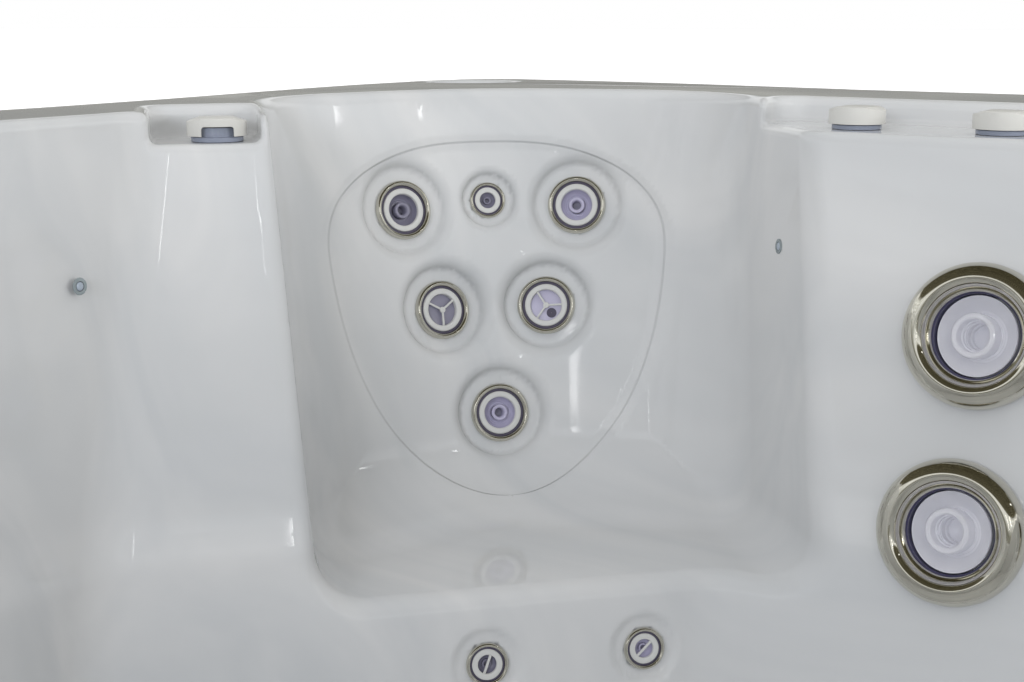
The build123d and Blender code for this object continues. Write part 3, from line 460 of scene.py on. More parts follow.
def poolField(x, y, z):
    size = shellSize
    blend, soft = size["wallBlend"], size["poolRound"]
    cut = size["facetDistance"] / math.sqrt(2)
    # each wall's point on the rim, the way that it faces and its slope
    rows = ((-size["rimInner"], 0, -1, 0, size["sideDraft"]),
            (cut - size["rimInner"], size["jetEnd"] - cut, -1, 1, size["facetSlope"]),
            (0, size["jetEnd"] - size["columnDepth"], 0, 1, size["columnSlope"]),
            (0, size["farEnd"] + size["benchReach"], 0, -1, size["farDraft"]),
            (0, size["farEnd"], 0, -1, size["farDraft"]))
    side, facet, column, deepWall, farWall = [wall(x, y, z, *row) for row in rows]
    walls = softMax(softMax(side, facet, blend), column, blend)
    deep = roundMax(roundMax(walls, deepWall, soft), size["floor"] - z, soft)
    bench = roundMax(roundMax(walls, farWall, soft), size["benchFloor"] - z, soft)
    return roundMin(deep, bench, blend)


def padField(s, depth):
    # the arched pad: wide and level at the top, drawn in to a round foot
    size = padSize
    away = np.abs(s - size["offset"])
    k = np.clip((depth - size["top"]) / (size["bottom"] - size["top"]), 0, 1)
    side = away - size["half"] * np.sqrt(1 - np.power(k, size["taper"])) + np.maximum(depth - size["bottom"], 0)
    top = size["top"] + size["arch"] * np.power(away / size["half"], 3.0) - depth
    return roundMax(side, top, size["corner"] * 0.5)


def seatField(t, s, z):
    size = seatSize
    lean = math.radians(size["recline"])
    drop = z - shellSize["height"]
    turn = math.radians(size["wingAngle"])
    flat, fall = -(t - size["backDistance"]) * math.cos(lean), drop * math.sin(lean)
    back = flat - fall
    for side in (-1, 1):
        start = size["offset"] + side * size["wingStart"]
        out = (s - start) * side * math.cos(lean)
        back = softMax(back, flat * math.cos(turn) + out * math.sin(turn) - fall, size["wingSoft"])
    pad = padField(s, -drop)
    back = back - size["padStep"] * np.clip(0.5 - pad / size["padEdge"], 0, 1)
    draft = math.radians(size["sideDraft"])
    sides = np.abs(s - size["offset"]) - size["halfWidth"]
    sides = sides * math.cos(draft) - drop * math.sin(draft)
    tub = roundMax(sides, -size["depth"] - drop, size["floorRound"])
    return roundMax(back, tub, size["cornerRound"])


def jetSpots():
    # the left corner's jets, each with the width of its dimple
    spots = [("left_jet_%d_turn" % (i + 1), 1.0) for i in range(5)]
    spots += [("left_shoulder_jet_turn", seatSize["small"]), ("left_calf_jet_1_turn", seatSize["small"]),
              ("left_calf_jet_2_turn", seatSize["small"])]
    return [(joints[name]["pos_m"], joints[name]["axis"], share) for name, share in spots]


swimSpots = ((-0.1425, 1.6032, 1.082), (-0.1425, 1.5443, 0.846))


def aroundAxis(x, y, z, spot, normal, reach):
    # the points near a jet, their height over its face and their distance from its axis
    away = [values - place for values, place in zip((x, y, z), spot)]
    near = np.logical_and.reduce([np.abs(side) < reach for side in away])
    away = [side[near] for side in away]
    high = sum(side * share for side, share in zip(away, normal))
    return near, high, np.sqrt(np.maximum(sum(side * side for side in away) - high * high, 0))


def addDimples(field, x, y, z):
    # each jet's shallow round dimple and, under its ring, the hole that it sits in
    size = seatSize
    for spot, normal, share in jetSpots():
        near, high, radial = aroundAxis(x, y, z, spot, normal, size["dimpleReach"])
        dish = roundMax(radial - size["dimple"] * share, -high, size["dimpleFoot"])
        dimpled = roundMin(field[near], dish, size["dimpleRound"] * share)
        hole = np.maximum(radial - size["hole"] * share, -high - size["holeDeep"] * share)
        field[near] = np.minimum(dimpled, hole)
    lean = math.radians(shellSize["columnSlope"])
    for spot in swimSpots:
        normal = (0, -math.cos(lean), math.sin(lean))
        near, high, radial = aroundAxis(x, y, z, spot, normal, size["swimReach"])
        hole = np.maximum(radial - size["swimHole"], -high - size["swimDeep"])
        field[near] = np.minimum(field[near], hole)
    return field


def waterField(x, y, z):
    size, ledge = shellSize, ledgeSize
    h = size["height"]
    t, s = seatAxes(x, y)
    water = roundMin(poolField(x, y, z), seatField(t, s, z), size["nicheRound"])
    water = addDimples(water, x, y, z)
    shelf = box2(x, y - ledge["shelfBack"] + 0.3, ledge["shelfHalf"], 0.3, ledge["shelfRound"])
    shelf = roundMax(shelf, h - ledge["shelfDrop"] - z, ledge["shelfFoot"])
    water = roundMin(water, shelf, ledge["edge"])
    pocket = box2(t - ledge["pocketT"], s - ledge["pocketS"], ledge["pocketLong"] / 2,
                  ledge["pocketWide"] / 2, ledge["pocketRound"])
    pocket = roundMax(pocket, h - ledge["pocketDrop"] - z, ledge["pocketEdge"])
    water = roundMin(water, pocket, ledge["pocketEdge"])
    dish = np.hypot(x - ledge["dishX"], y - ledge["dishY"]) - ledge["dishRadius"]
    water = np.minimum(water, roundMax(dish, h - ledge["dishDrop"] - z, ledge["edge"]))
    middle = (ledge["wellFrom"] + ledge["wellTo"]) / 2
    well = box2(x, y - middle, ledge["wellX"], (ledge["wellTo"] - ledge["wellFrom"]) / 2, ledge["wellRound"])
    water = np.minimum(water, np.maximum(well, h - ledge["wellDepth"] - z))
    mouth = np.maximum(np.abs(x) - ledge["mouthX"], np.abs(z - h + ledge["mouthTop"] + ledge["mouthHigh"] / 2)
                       - ledge["mouthHigh"] / 2)
    mouth = np.maximum(mouth, np.maximum(middle - y, y - ledge["mouthTo"]))
    return roundMin(water, mouth, ledge["mouthEdge"])


def rimHeight(x, y):
    # the rim rises a little round the seat's corner
    away = np.hypot(x + shellSize["rimInner"], y - shellSize["jetEnd"]) / shellSize["crownReach"]
    return shellSize["height"] + shellSize["crown"] * np.exp(-away * away * 2)


def solidField(x, y, z):
    outer = box2(x, y, shellSize["halfWidth"], shellSize["halfLength"], shellSize["cornerRound"])
    slab = roundMax(outer, z - rimHeight(x, y), shellSize["outerRound"])
    return roundMax(slab, -waterField(x, y, z), shellSize["rimRound"])


def steps(spans):
    # a row of grid lines: fine where the photograph looks, coarse elsewhere
    rows = [np.linspace(a, b, max(1, round((b - a) / s)), endpoint=False) for a, b, s in spans]
    return np.concatenate(rows + [np.array([spans[-1][1]])])


def surfaceNet(values, xs, ys, zs):
    # one point in each cell that the surface crosses, joined into four-sided faces
    inside = values < 0
    shape = tuple(n - 1 for n in values.shape)
    corners = [(i, j, k) for i in (0, 1) for j in (0, 1) for k in (0, 1)]
    total = np.zeros(shape, np.int8)
    for i, j, k in corners:
        total += inside[i:i + shape[0], j:j + shape[1], k:k + shape[2]]
    active = (total > 0) & (total < 8)
    cells = np.argwhere(active)
    index = np.full(shape, -1, np.int32)
    index[active] = np.arange(len(cells))
    axes = (xs, ys, zs)
    spot = np.zeros((len(cells), 3))
    hits = np.zeros(len(cells))
    for first in corners:
        for axis in range(3):
            if first[axis]:
                continue
            second = list(first)
            second[axis] = 1
            one, two = cells + first, cells + second
            v1, v2 = values[tuple(one.T)], values[tuple(two.T)]
            cross = (v1 < 0) != (v2 < 0)
            share = np.where(cross, v1 / np.where(cross, v1 - v2, 1), 0)
            for a in range(3):
                p1, p2 = axes[a][one[:, a]], axes[a][two[:, a]]
                spot[:, a] += np.where(cross, p1 + (p2 - p1) * share, 0)
            hits += cross
    spot /= hits[:, None]
    faces = []
    for axis in range(3):
        low = [slice(1, -1)] * 3
        low[axis] = slice(0, -1)
        high = list(low)
        high[axis] = slice(1, None)
        first, second = inside[tuple(low)], inside[tuple(high)]
        change = np.argwhere(first != second)
        change += [int(a != axis) for a in range(3)]
        sign = inside[tuple(change.T)]
        b, c = [a for a in range(3) if a != axis]
        ring = []
        for db, dc in ((-1, -1), (0, -1), (0, 0), (-1, 0)):
            cell = change.copy()
            cell[:, b] += db
            cell[:, c] += dc
            ring.append(index[tuple(cell.T)])
        quads = np.stack(ring, 1)
        flip = sign if axis != 1 else ~sign
        quads[~flip] = quads[~flip][:, ::-1]
        faces.append(quads)
    return spot, np.concatenate(faces)


def fieldChange(x, y, z, step):
    # how the field changes from one step before each point to one step past it, along each axis
    return np.stack([solidField(x + i, y + j, z + k) - solidField(x - i, y - j, z - k)
                     for i, j, k in ((step, 0, 0), (0, step, 0), (0, 0, step))], 1)


def settle(points):
    # moves each point onto the true surface
    step, reach, leastSlope = 0.0004, 0.004, 0.25
    for _ in range(4):
        x, y, z = points.T.copy()
        value = solidField(x, y, z)
        slope = fieldChange(x, y, z, step) / (2 * step)
        size = np.maximum((slope ** 2).sum(1), leastSlope)
        move = -value[:, None] * slope / size[:, None]
        points = points + np.clip(move, -reach, reach)
    return points


def foldLip():
    # turns the sheet's lower edge inwards by its thickness and up behind the lip
    bpy.ops.mesh.select_all(action="DESELECT")
    bpy.ops.mesh.select_non_manifold(extend=False, use_wire=False, use_multi_face=False,
                                     use_non_contiguous=False, use_verts=False)
    size = shellSize
    shrink = (1 - size["sheet"] / size["halfWidth"], 1 - size["sheet"] / size["halfLength"], 1)
    bpy.ops.mesh.extrude_region_move()
    bpy.ops.transform.resize(value=shrink, center_override=(0, 0, 0))
    rise = size["lipDrop"] - size["lipFold"]
    bpy.ops.mesh.extrude_region_move(TRANSFORM_OT_translate={"value": (0, 0, rise)})
    bpy.ops.mesh.select_all(action="SELECT")
    bpy.ops.mesh.normals_make_consistent(inside=False)


def makeShell():
    size = shellSize
    fine = size["fine"]
    xs = steps([(-1.24, -1.12, 0.012), (-1.12, -0.05, fine), (-0.05, 0.04, 0.015)])
    ys = steps([(-2.155, -1.78, 0.015), (-1.78, -1.3, 0.03), (-1.3, 0.6, 0.06), (0.6, 0.95, 0.012),
                (0.95, 1.98, fine), (1.98, 2.155, 0.012)])
    zs = steps([(0.17, 0.66, 0.02), (0.66, 1.24, fine), (1.24, 1.37, 0.006)])
    grid = np.meshgrid(xs, ys, zs, indexing="ij")
    values = solidField(*[g.astype(np.float32) for g in grid])
    points, faces = surfaceNet(values, xs, ys, zs)
    points = settle(points)
    middle = points[faces].mean(1)
    edge = box2(middle[:, 0], middle[:, 1], size["halfWidth"], size["halfLength"], size["cornerRound"])
    keep = ~((edge > -size["lipBand"]) & (middle[:, 2] < size["height"] - size["lipDrop"]))
    faces = faces[keep & (faces.min(1) >= 0)]
    used, faces = np.unique(faces, return_inverse=True)
    mesh = bpy.data.meshes.new("shellHalf")
    mesh.from_pydata(points[used].tolist(), [], faces.reshape(-1, 4).tolist())
    obj = bpy.data.objects.new("shellHalf", mesh)
    bpy.context.collection.objects.link(obj)
    editMode(obj)
    bpy.ops.mesh.bisect(plane_co=(0, 0, 0), plane_no=(1, 0, 0), clear_outer=True)
    objectMode()
    mirror = obj.modifiers.new("otherHalf", "MIRROR")
    mirror.merge_threshold = 0.0005
    bpy.ops.object.modifier_apply(modifier=mirror.name)
    editMode(obj)
    bpy.ops.mesh.dissolve_limited(angle_limit=math.radians(0.35))
    foldLip()
    objectMode()
    return obj


def trueNormals(obj):
    # shades the sheet by the true slope of the surface at each point
    size = shellSize
    points = np.empty(len(obj.data.vertices) * 3)
    obj.data.vertices.foreach_get("co", points)
    points = points.reshape(-1, 3)
    side = np.where(points[:, 0] > 0, -1.0, 1.0)
    x, y, z = points[:, 0] * side, points[:, 1].copy(), points[:, 2].copy()
    slope = fieldChange(x, y, z, size["slopeStep"])
    slope[:, 0] *= side
    slope = slope / np.maximum(np.linalg.norm(slope, axis=1), 1e-9)[:, None]
    lip = size["height"] - size["lipDrop"] + 0.002
    under = (z < lip) & ((np.abs(x) > size["lipX"]) | (np.abs(y) > size["lipY"]))
    slope[under] = 0
    obj.data.normals_split_custom_set_from_vertices(slope.tolist())


shell = makeShell()
smooth(shell, 60)
trueNormals(shell)
fit(shell, "acrylicShell", "spa", acrylic, ["shell"])
print("shell made:", len(shell.data.polygons), "faces")


# seat jets

jetSize = {
    "ring": 0.045, "ringBore": 0.0366, "ringHigh": 0.008,
    "face": 0.0329, "hole": 0.0240, "front": 0.0042,
    "cupDepth": 0.017, "tube": 0.0126, "tubeBore": 0.0068,
    "small": 0.62, "smallHole": 0.44, "smallFace": 0.72,
    "spoke": 0.0030, "hub": 0.0046, "port": 0.0077, "portOut": 0.0085, "portDown": -0.0115,
}


def jetRingOutline():
    # a polished bead: the half round that the light runs along, with a thin foot
    outer, inner, high = jetSize["ring"], jetSize["ringBore"], jetSize["ringHigh"]
    middle, half = (outer + inner) / 2, (outer - inner) / 2
    turns = [math.pi * k / 12 for k in range(13)]
    bead = [(middle + half * math.cos(turn), high * 0.25 + high * 0.75 * math.sin(turn)) for turn in turns]
    return [(outer, 0)] + bead + [(inner, -0.006), (outer - 0.004, -0.006)]


def faceOutline(hole, face, front):
    back = -0.020
    return rounded([(hole, front - 0.0016), (hole + 0.0012, front), (face - 0.001, front),
                    (face, front - 0.001), (face, back), (hole + 0.001, back), (hole, back + 0.001)], 0.0007, 2)


def cupOutline(hole, tube, floor):
    # a shallow dish with steps like a turned bowl
    steps = 4
    points = [(tube - 0.0005, floor)]
    for k in range(steps):
        share = (k + 0.2) / steps
        radius = tube + (hole - tube) * share
        rise = (k / steps) ** 1.6 * 0.007
        points += [(radius, floor + rise), (radius + 0.0007, floor + rise + 0.0009)]
    return points + [(hole - 0.0002, floor + 0.012), (hole + 0.0009, floor + 0.012),
                     (hole + 0.0009, floor - 0.002), (tube - 0.0005, floor - 0.002)]


def tubeOutline(tube, bore, floor, tip):
    return rounded([(tube * 0.88, floor), (tube, tip - 0.002), (tube - 0.001, tip),
                    (bore + 0.0016, tip - 0.0004), (bore, tip - 0.003), (bore * 0.85, floor - 0.004),
                    (tube * 0.88, floor - 0.004)], 0.0008, 2)


def bar(length, width, low, high, place):
    # a straight bar with softened edges, set by its own place
    obj = addNew(bpy.ops.mesh.primitive_cube_add, size=1, location=(0, 0, (low + high) / 2))
    obj.scale = (length, width, high - low)
    bpy.ops.object.transform_apply(location=True, scale=True)
    bevelEdges(obj, min(width, high - low) * 0.22, 2)
    obj.data.transform(place)
    smooth(obj)
    return obj


def disc(radius, low, high):
    corner = min(0.0008, (high - low) * 0.3)
    return lathe(rounded([(0.0003, low), (radius, low), (radius, high), (0.0003, high)], corner), 48)


def rotorWheel(angles):
    # three thin spokes and a small hub
    size = jetSize
    top = size["front"] - 0.0006
    low = top - 0.0026
    reach = size["hole"] + 0.0004
    pieces = [disc(size["hub"], low, top + 0.0004)]
    for angle in angles:
        turn = Matrix.Rotation(math.radians(angle), 4, "Z") @ Matrix.Translation((reach / 2, 0, 0))
        pieces.append(bar(reach, size["spoke"], low, top, turn))
    return joinAll(pieces)


def jetParts(hole, face, tube, bore, floor, tip, plug):
    # what one size of jet has inside its ring, from the gap round its face to the throat
    gap = [(face, 0.0018), (jetSize["ringBore"], 0.0018), (jetSize["ringBore"], -0.012), (face, -0.012)]
    return {"gap": lathe(rounded(gap, 0.0006)),
            "face": lathe(faceOutline(hole, face, jetSize["front"])),
            "cup": lathe(cupOutline(hole, tube, floor)),
            "nozzle": lathe(tubeOutline(tube, bore, floor, jetSize["front"] - tip)),
            "throat": disc(plug, floor - 0.0065, floor - 0.003)}


def makeJets():
    # the pieces of the large and the small jets, and those that both or only some have
    size = jetSize
    front = size["front"]
    floor = front - size["cupDepth"]
    hole, face = size["ring"] * size["smallHole"], size["ring"] * size["smallFace"]
    tube, bore = size["tube"], size["tubeBore"]
    large = jetParts(size["hole"], size["face"], tube, bore, floor, 0.004, tube * 0.8)
    small = jetParts(hole, face, hole * 0.5, hole * 0.27, floor * 1.1, 0.008, hole * 0.45)
    others = {"ring": lathe(jetRingOutline()),
              "bar": bar(2 * hole + 0.001, 0.0052, front - 0.0042, front - 0.0002, Matrix.Identity(4)),
              "plate": disc(size["hole"] + 0.0006, front - 0.0115, front - 0.0075),
              "port": disc(size["port"], front - 0.0077, front - 0.0071)}
    return large, small, others


largeJet, smallJet, jetExtras = makeJets()
jetAngles = {"left_jet_3": (150, 33, 267), "left_jet_4": (125, 4, 237),
             "right_jet_3": (30, 147, 273), "right_jet_4": (55, 176, 303)}
barAngles = {"left_calf_jet_1": 68, "left_calf_jet_2": 42, "right_calf_jet_1": 112, "right_calf_jet_2": 138}


def placeRotor(name, place):
    # behind the spokes lies a lavender plate; one has its port off the middle
    rotor = name.replace("jet", "rotor")
    deep = name.endswith("3")
    plate = copyAt(jetExtras["plate"], place)
    fit(plate, name + ".plate", name, smokeLavender if deep else paleLavender)
    if not deep:
        out = jetSize["portOut"] if name.startswith("left") else -jetSize["portOut"]
        port = copyAt(jetExtras["port"], place @ Matrix.Translation((out, jetSize["portDown"], 0)))
        fit(port, name + ".port", name, gapPlastic)
    wheel = rotorWheel(jetAngles[name])
    wheel.data.transform(place)
    fit(wheel, rotor + ".wheel", rotor, facePlastic, [rotor])


def placeJet(name, parts):
    place = placeOf(name + "_turn")
    if parts is smallJet:
        place = place @ Matrix.Scale(jetSize["small"], 4)
    face = copyAt(parts["face"], place)
    if name in barAngles:
        turn = Matrix.Rotation(math.radians(barAngles[name]), 4, "Z")
        face = joinAll([face, copyAt(jetExtras["bar"], place @ turn)])
    fit(face, name + ".face", name, facePlastic, [name])
    fit(copyAt(parts["gap"], place), name + ".bearing", name, gapPlastic)
    if name in jetAngles:
        placeRotor(name, place)
    else:
        deep = name in ("left_jet_1", "left_shoulder_jet", "left_calf_jet_1")
        for part in ("cup", "nozzle", "throat"):
            look = smokeLavender if deep or part == "throat" else paleLavender
            fit(copyAt(parts[part], place), "%s.%s" % (name, part), name, look)
    return copyAt(jetExtras["ring"], place)


allRings = []
for side in ("left", "right"):
    allRings += [placeJet("%s_jet_%d" % (side, i + 1), largeJet) for i in range(5)]
    allRings += [placeJet("%s_%s" % (side, tail), smallJet)
                 for tail in ("shoulder_jet", "calf_jet_1", "calf_jet_2")]
fit(joinAll(allRings), "seatJetRings", "spa", steel, ["seat_jet_rings"])
for masters in (largeJet, smallJet, jetExtras):
    removeAll(masters.values())
print("seat jets made")


# swim jets

swimSize = {
    "ring": 0.091, "bore": 0.0545, "high": 0.025, "crest": 0.0705, "ball": 0.0516, "faceRise": 0.0156,
    "tube": 0.0285, "tubeBore": 0.0185, "tubeShift": 0.0045, "bowlShift": 0.0012, "bowlFloor": 0.0235,
    "aim": -9,
}


def swimRingOutline():
    # a fat bead, wider outside its crest, then a narrow groove and a small lip round the opening
    size = swimSize
    outer, inner, high, crest = size["ring"], size["bore"], size["high"], size["crest"]
    outline = [(outer - 0.002, -0.004), (outer, -0.001)]
    for k in range(19):
        turn = math.pi * 0.92 * k / 18
        half = outer - crest if turn < math.pi / 2 else crest - inner - 0.0035
        outline.append((crest + half * math.cos(turn), 0.001 + (high - 0.002) * math.sin(turn)))
    outline += [(inner + 0.0045, 0.0068), (inner + 0.0036, 0.0086), (inner + 0.0022, 0.0092),
                (inner + 0.0009, 0.0084), (inner, 0.0062), (inner, -0.006), (inner + 0.006, -0.008)]
    return outline


def swimDishOutline():
    # the ball's clear bowl, with fine moulded steps down to the tube
    size = swimSize
    points, back = [], []
    for k in range(9):
        share = k / 8
        radius = size["ball"] - 0.0012 - (size["ball"] - size["bowlFloor"]) * share
        depth = -0.004 - 0.019 * math.sin(share * math.pi / 2)
        points += [(radius, depth), (radius - 0.0006, depth - 0.0009)]
        back.append((radius, depth - 0.0042))
    return points + back[::-1]


def swimTubeOutline():
    size = swimSize
    tube, bore = size["tube"], size["tubeBore"]
    return [(tube, -0.036), (tube, -0.004), (tube - 0.0006, -0.0022), (tube - 0.0022, -0.0012),
            (bore + 0.0042, -0.0012), (bore + 0.0026, -0.0024), (bore + 0.0018, -0.006),
            (bore + 0.0018, -0.016), (bore + 0.0004, -0.0175), (bore + 0.0004, -0.026),
            (bore - 0.0012, -0.0275), (bore - 0.0012, -0.038), (bore - 0.003, -0.0395), (bore - 0.003, -0.047),
            (0.0001, -0.047), (0.0001, -0.050), (tube - 0.003, -0.050)]


swimMasters = {"ring": lathe(swimRingOutline(), 128), "dish": lathe(swimDishOutline(), 96),
               "tube": lathe(swimTubeOutline(), 96)}
swimRings = []
lean = math.radians(shellSize["columnSlope"])
outward = Vector((0, -math.cos(lean), math.sin(lean)))
aim = (Matrix.Translation((-swimSize["bowlShift"], 0, 0))
       @ Matrix.Rotation(math.radians(swimSize["aim"]), 4, "Y"))
tubeShift = Matrix.Translation((-swimSize["tubeShift"], 0, 0))
for number in range(1, 5):
    name = "swim_nozzle_%d" % number
    joint = joints[name + "_tilt"]
    axis = Vector(joint["axis"])
    turn = Matrix((axis, outward.cross(axis), outward)).transposed().to_4x4()
    face = Matrix.Translation(Vector(joint["pos_m"]) + outward * swimSize["faceRise"]) @ turn
    swimRings.append(copyAt(swimMasters["ring"], face))
    dish = copyAt(swimMasters["dish"], face @ aim)
    tube = copyAt(swimMasters["tube"], face @ aim @ tubeShift)
    fit(dish, name + ".dish", name, clearBowl, [name])
    fit(tube, name + ".tube", name, clearBowl)
fit(joinAll(swimRings), "swimJetRings", "spa", steel, ["swim_jet_rings"])
removeAll(swimMasters.values())
print("swim jets made")


# knobs: a cap with a window in its skirt over a clear collar

knobSize = {
    "radius": 0.0375, "low": 0.0075, "high": 0.030, "shoulder": 0.006, "crown": 0.044,
    "window": 0.040, "windowHigh": 0.0125, "collar": 0.033, "collarHigh": 0.0068, "edge": 0.0022,
}


def cutBox(obj, centre, size, turn=0.0, soft=0.0):
    # takes a block out of a piece
    cutter = addNew(bpy.ops.mesh.primitive_cube_add, size=1, location=centre)
    cutter.scale = size
    cutter.rotation_euler = (0, turn, 0)
    bpy.ops.object.transform_apply(location=True, rotation=True, scale=True)
    if soft:
        bevelEdges(cutter, soft, 4)
    cut = obj.modifiers.new("cut", "BOOLEAN")
    cut.operation, cut.object = "DIFFERENCE", cutter
    selectOnly(obj)
    bpy.ops.object.modifier_apply(modifier=cut.name)
    bpy.data.objects.remove(cutter)


def makeKnob():
    size = knobSize
    low, high = size["low"], size["high"]
    cap = addNew(bpy.ops.mesh.primitive_cylinder_add, vertices=96, radius=size["radius"], depth=high - low,
                 location=(0, 0, (high + low) / 2))
    bpy.ops.object.transform_apply(location=True)
    reach = size["radius"]
    for side in (-1, 1):
        cutBox(cap, (side * (size["crown"] / 2 + reach / 2 + 0.001), 0, size["high"] + 0.0005),
               (reach, 0.12, 2 * size["shoulder"]), math.radians(side * 14))
    cutBox(cap, (0, -reach - 0.004, size["low"] + size["windowHigh"] / 2 - 0.01),
           (size["window"], 0.05, size["windowHigh"] + 0.02), 0.0, 0.004)
    bevelEdges(cap, size["edge"], 3, 28)
    smooth(cap, 40)
    return cap


def makeCollar():
    # a clear ring with an inner drum that shows in the window
    size = knobSize
    radius = size["collar"]
    return lathe(rounded([(0.012, 0.0003), (radius, 0.0003), (radius, size["collarHigh"] - 0.0005),
                          (radius - 0.005, size["collarHigh"]), (radius - 0.0055, 0.0185), (0.012, 0.0185)],
                         0.0012, 3), 96)


knobMaster, collarMaster = makeKnob(), makeCollar()
allCollars = []
knobTurns = {5: 45.0, 6: -45.0}      # in the pockets the window looks over the seat
for number in range(1, 7):
    name = "diverter_knob_%d" % number
    turn = Matrix.Rotation(math.radians(knobTurns.get(number, 180.0)), 4, "Z")
    place = Matrix.Translation(Vector(joints[name + "_turn"]["pos_m"])) @ turn
    fit(copyAt(knobMaster, place), name + ".cap", name, knobPlastic, [name])
    allCollars.append(copyAt(collarMaster, place))
fit(joinAll(allCollars), "knobCollars", "spa", clearBlue, ["knob_collars"])
removeAll([knobMaster, collarMaster])
print("knobs made")


# small lights: a clear washer with a lens in it

lightSpots = [((-1.0198, 0.978, 1.156), (0.9986, 0, 0.0523)), ((-1.0198, -0.755, 1.156), (0.9986, 0, 0.0523)),
              ((-0.4388, 1.6976, 1.156), (-0.7059, -0.7059, 0.0576))]
lightSize = {"washer": 0.0104, "lens": 0.0052, "high": 0.0023, "notches": 4}


def makeLight():
    size = lightSize
    washer = lathe(rounded([(size["lens"] + 0.0008, 0.0001), (size["washer"], 0.0001),
                            (size["washer"], size["high"] * 0.5), (size["lens"] + 0.0008, size["high"] * 0.75)],
                           0.0004, 2))
    for k in range(size["notches"]):
        turn = 2 * math.pi * (k + 0.5) / size["notches"]
        cutBox(washer, (size["washer"] * math.cos(turn), size["washer"] * math.sin(turn), 0.001),
               (0.0014, 0.0014, 0.004))
    smooth(washer)
    lens = lathe(rounded([(0.0003, 0.0001), (size["lens"], 0.0001), (size["lens"], 0.0012), (0.003, 0.0021),
                          (0.0003, 0.0023)], 0.0004, 2))
    socket = disc(size["lens"] + 0.0012, -0.004, 0.0001)
    return washer, lens, socket


lightMasters = makeLight()
lightPieces = ([], [], [])
for place, normal in lightSpots:
    for side in (1, -1):
        turn = Vector((normal[0] * side, normal[1], normal[2])).to_track_quat("Z", "Y").to_matrix().to_4x4()
        spot = Matrix.Translation(Vector((place[0] * side, place[1], place[2]))) @ turn
        for master, pieces in zip(lightMasters, lightPieces):
            pieces.append(copyAt(master, spot))
fit(joinAll(lightPieces[0]), "lightWashers", "spa", lensClear, ["light_lenses"])
fit(joinAll(lightPieces[1]), "lightLenses", "spa", lensBright)
fit(joinAll(lightPieces[2]), "lightSockets", "spa", gapPlastic)
removeAll(lightMasters)
print("lights made")


# finishes of the pieces that keep their CAD shape

finishes = (
    (blackPlastic, "base_pan", "corner_posts"), (frameSteel, "frame_posts", "frame_rails"),
    (boards, "cabinet_side_panels", "cabinet_end_panels"), (screwSteel, "panel_screws"),
    (darkPlastic, "seat_jet_bodies", "swim_jet_bodies"), (pumpPlastic, "keypad", "pumps"),
    (pipePlastic, "diverter_valves", "riser_pipes", "drain_valve"), (fleece, "filter_cartridges"),
    (trimPlastic, "skimmer_plate", "weir_flap", "filter_lid", "suction_covers"),
    (boxPaint, "control_box"), (heaterSteel, "heater"), (redPlastic, "drain_lever"),
    (buttonPlastic, "keypad_button_1", "keypad_button_2", "keypad_button_3"),
)
for material, *nodeNames in finishes:
    for nodeName in nodeNames:
        dress(frame["nodes"][nodeName], material)


# floor, lamps and sky

studio = {
    "floorTint": "EDEDEC", "skyTint": "FFFFFF", "skyStrength": 0.87, "floorLift": 0.62,
    "hallStrength": 1.15, "cardStrength": 11.0,
}


def addStage():
    floor = addNew(bpy.ops.mesh.primitive_plane_add, size=600, location=(0, 0, -0.001))
    floor.name = "studioFloor"
    material, tree, _ = newMaterial("paleFloorPaint")
    paint = addNode(tree, "BsdfPrincipled", {"Base Color": hexColor(studio["floorTint"]), "Roughness": 0.8})
    path = addNode(tree, "LightPath")
    lift = addNode(tree, "Math", {
        "operation": "MULTIPLY", 1: studio["floorLift"], 0: path.outputs["Is Camera Ray"]})
    glow = addNode(tree, "Emission", {"Strength": lift})
    both = addNode(tree, "AddShader", {0: paint, 1: glow})
    floor.data.materials.append(finishMaterial(material, both))


def hallPattern(tree):
    # what polished pieces mirror: a pale hall with a dark line of far walls and a ribbed dark roof
    coords = addNode(tree, "TexCoord")
    parts = addNode(tree, "SeparateXYZ", {0: coords.outputs["Generated"]})
    height = addNode(tree, "ValToRGB", {"Fac": parts.outputs["Z"]})
    fillRamp(height, ((0.0, "8C8C88"), (0.05, "7C7C76"), (0.20, "85857C"), (0.30, "E4E6E6"), (0.42, "EFF0EE"),
                      (0.47, "6C6857"), (1.0, "524E3C")))
    slant = addNode(tree, "Mapping", {"Rotation": (0, 0, 0.5), "Vector": coords.outputs["Generated"]})
    ribs = addNode(tree, "TexWave", {"Scale": 14.0, "Distortion": 0.4, "bands_direction": "X", "Vector": slant})
    thin = addNode(tree, "MapRange", {
        "From Min": 0.4, "From Max": 0.65, "To Min": 0.0, "To Max": 0.85, "Value": ribs.outputs["Fac"]})
    roof = addNode(tree, "MapRange", {"From Min": 0.42, "From Max": 0.5, "Value": parts.outputs["Z"]})
    amount = addNode(tree, "Math", {"operation": "MULTIPLY", 0: thin, 1: roof})
    ribbed = addNode(tree, "Mix", {"data_type": "RGBA", 7: hexColor("2E2B20"), 0: amount, 6: height})
    streak = addNode(tree, "Mapping", {"Scale": (3.0, 3.0, 60.0), "Vector": coords.outputs["Generated"]})
    far = addNode(tree, "TexNoise", {"Scale": 1.6, "Detail": 4.0, "Vector": streak})
    lift = addNode(tree, "MapRange", {
        "From Min": 0.35, "From Max": 0.65, "To Min": 0.6, "To Max": 1.4, "Value": far})
    return addNode(tree, "Mix", {
        "data_type": "RGBA", "blend_type": "MULTIPLY", 0: 1.0, 6: ribbed.outputs[2], 7: lift})


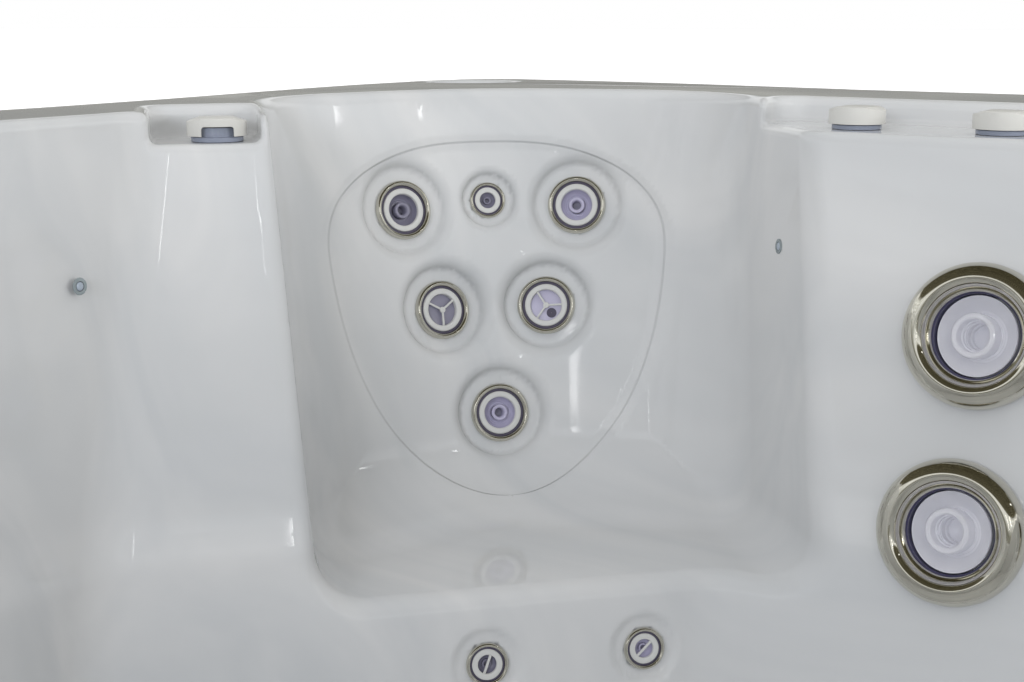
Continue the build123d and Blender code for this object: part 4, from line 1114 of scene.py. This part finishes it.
def addSky():
    world = bpy.data.worlds.new("studioSky")
    bpy.context.scene.world = world
    world.use_nodes = True
    tree = world.node_tree
    tree.nodes.clear()
    path = addNode(tree, "LightPath")
    seen = addNode(tree, "Math", {
        "operation": "MAXIMUM", 0: path.outputs["Is Camera Ray"], 1: path.outputs["Is Transmission Ray"]})
    level = addNode(tree, "MapRange", {"To Min": studio["skyStrength"], "To Max": 1.0, "Value": seen})
    sky = addNode(tree, "Background", {"Color": hexColor(studio["skyTint"]), "Strength": level})
    hall = addNode(tree, "Background", {
        "Strength": studio["hallStrength"], "Color": hallPattern(tree).outputs[2]})
    glossy = addNode(tree, "MixShader", {0: path.outputs["Is Glossy Ray"], 1: sky, 2: hall})
    addNode(tree, "OutputWorld", {"Surface": glossy})


# each lamp's place, what it faces, its width, height, power in watts and tint
lampSpots = (
    ("fillLamp", (0.9, -5.0, 2.6), (-0.6, 1.6, 0.8), 2.6, 1.2, 122.0, "F0F5FF"),
    ("sideLamp", (3.4, 1.0, 1.66), (-1.03, 0.9, 1.15), 1.8, 0.6, 50.0, "FFFFFF"),
)
# each bright strip's place, what it faces, its width and height
cardSpots = (
    ("backCard", (0.83, -1.77, 2.00), (-0.777, 1.712, 0.93), 0.022, 0.50),
    ("cornerCard", (2.50, 1.42, 2.92), (-1.05, 1.52, 1.32), 0.10, 0.12),
    ("pillarCard", (2.00, -1.35, 2.38), (-1.01, 1.11, 1.25), 0.05, 0.50),
)


def addLamp(name, place, target, sizeX, sizeY, power, tint):
    lamp = addNew(bpy.ops.object.light_add, type="AREA", location=place)
    lamp.name = name
    lamp.data.shape = "RECTANGLE"
    lamp.data.size, lamp.data.size_y = sizeX, sizeY
    lamp.data.energy = power
    lamp.data.color = hexColor(tint)[:3]
    lamp.rotation_euler = (Vector(target) - Vector(place)).to_track_quat("-Z", "Y").to_euler()
    lamp.visible_glossy = False


def addCard(name, place, target, wide, high):
    # a bright strip that only mirrors see, for the window's streaks on the gloss
    card = addNew(bpy.ops.mesh.primitive_plane_add, size=1, location=place)
    card.name = name
    card.scale = (wide, high, 1)
    card.rotation_euler = (Vector(target) - Vector(place)).to_track_quat("Z", "Y").to_euler()
    material, tree, _ = newMaterial("windowGlow")
    glow = addNode(tree, "Emission", {"Strength": studio["cardStrength"]})
    card.data.materials.append(finishMaterial(material, glow))
    card.visible_camera = card.visible_diffuse = card.visible_shadow = card.visible_transmission = False


addStage()
addSky()
for spot in lampSpots:
    addLamp(*spot)
for spot in cardSpots:
    addCard(*spot)

scene = bpy.context.scene
scene.view_settings.view_transform = "Standard"
print("stage and lamps set")
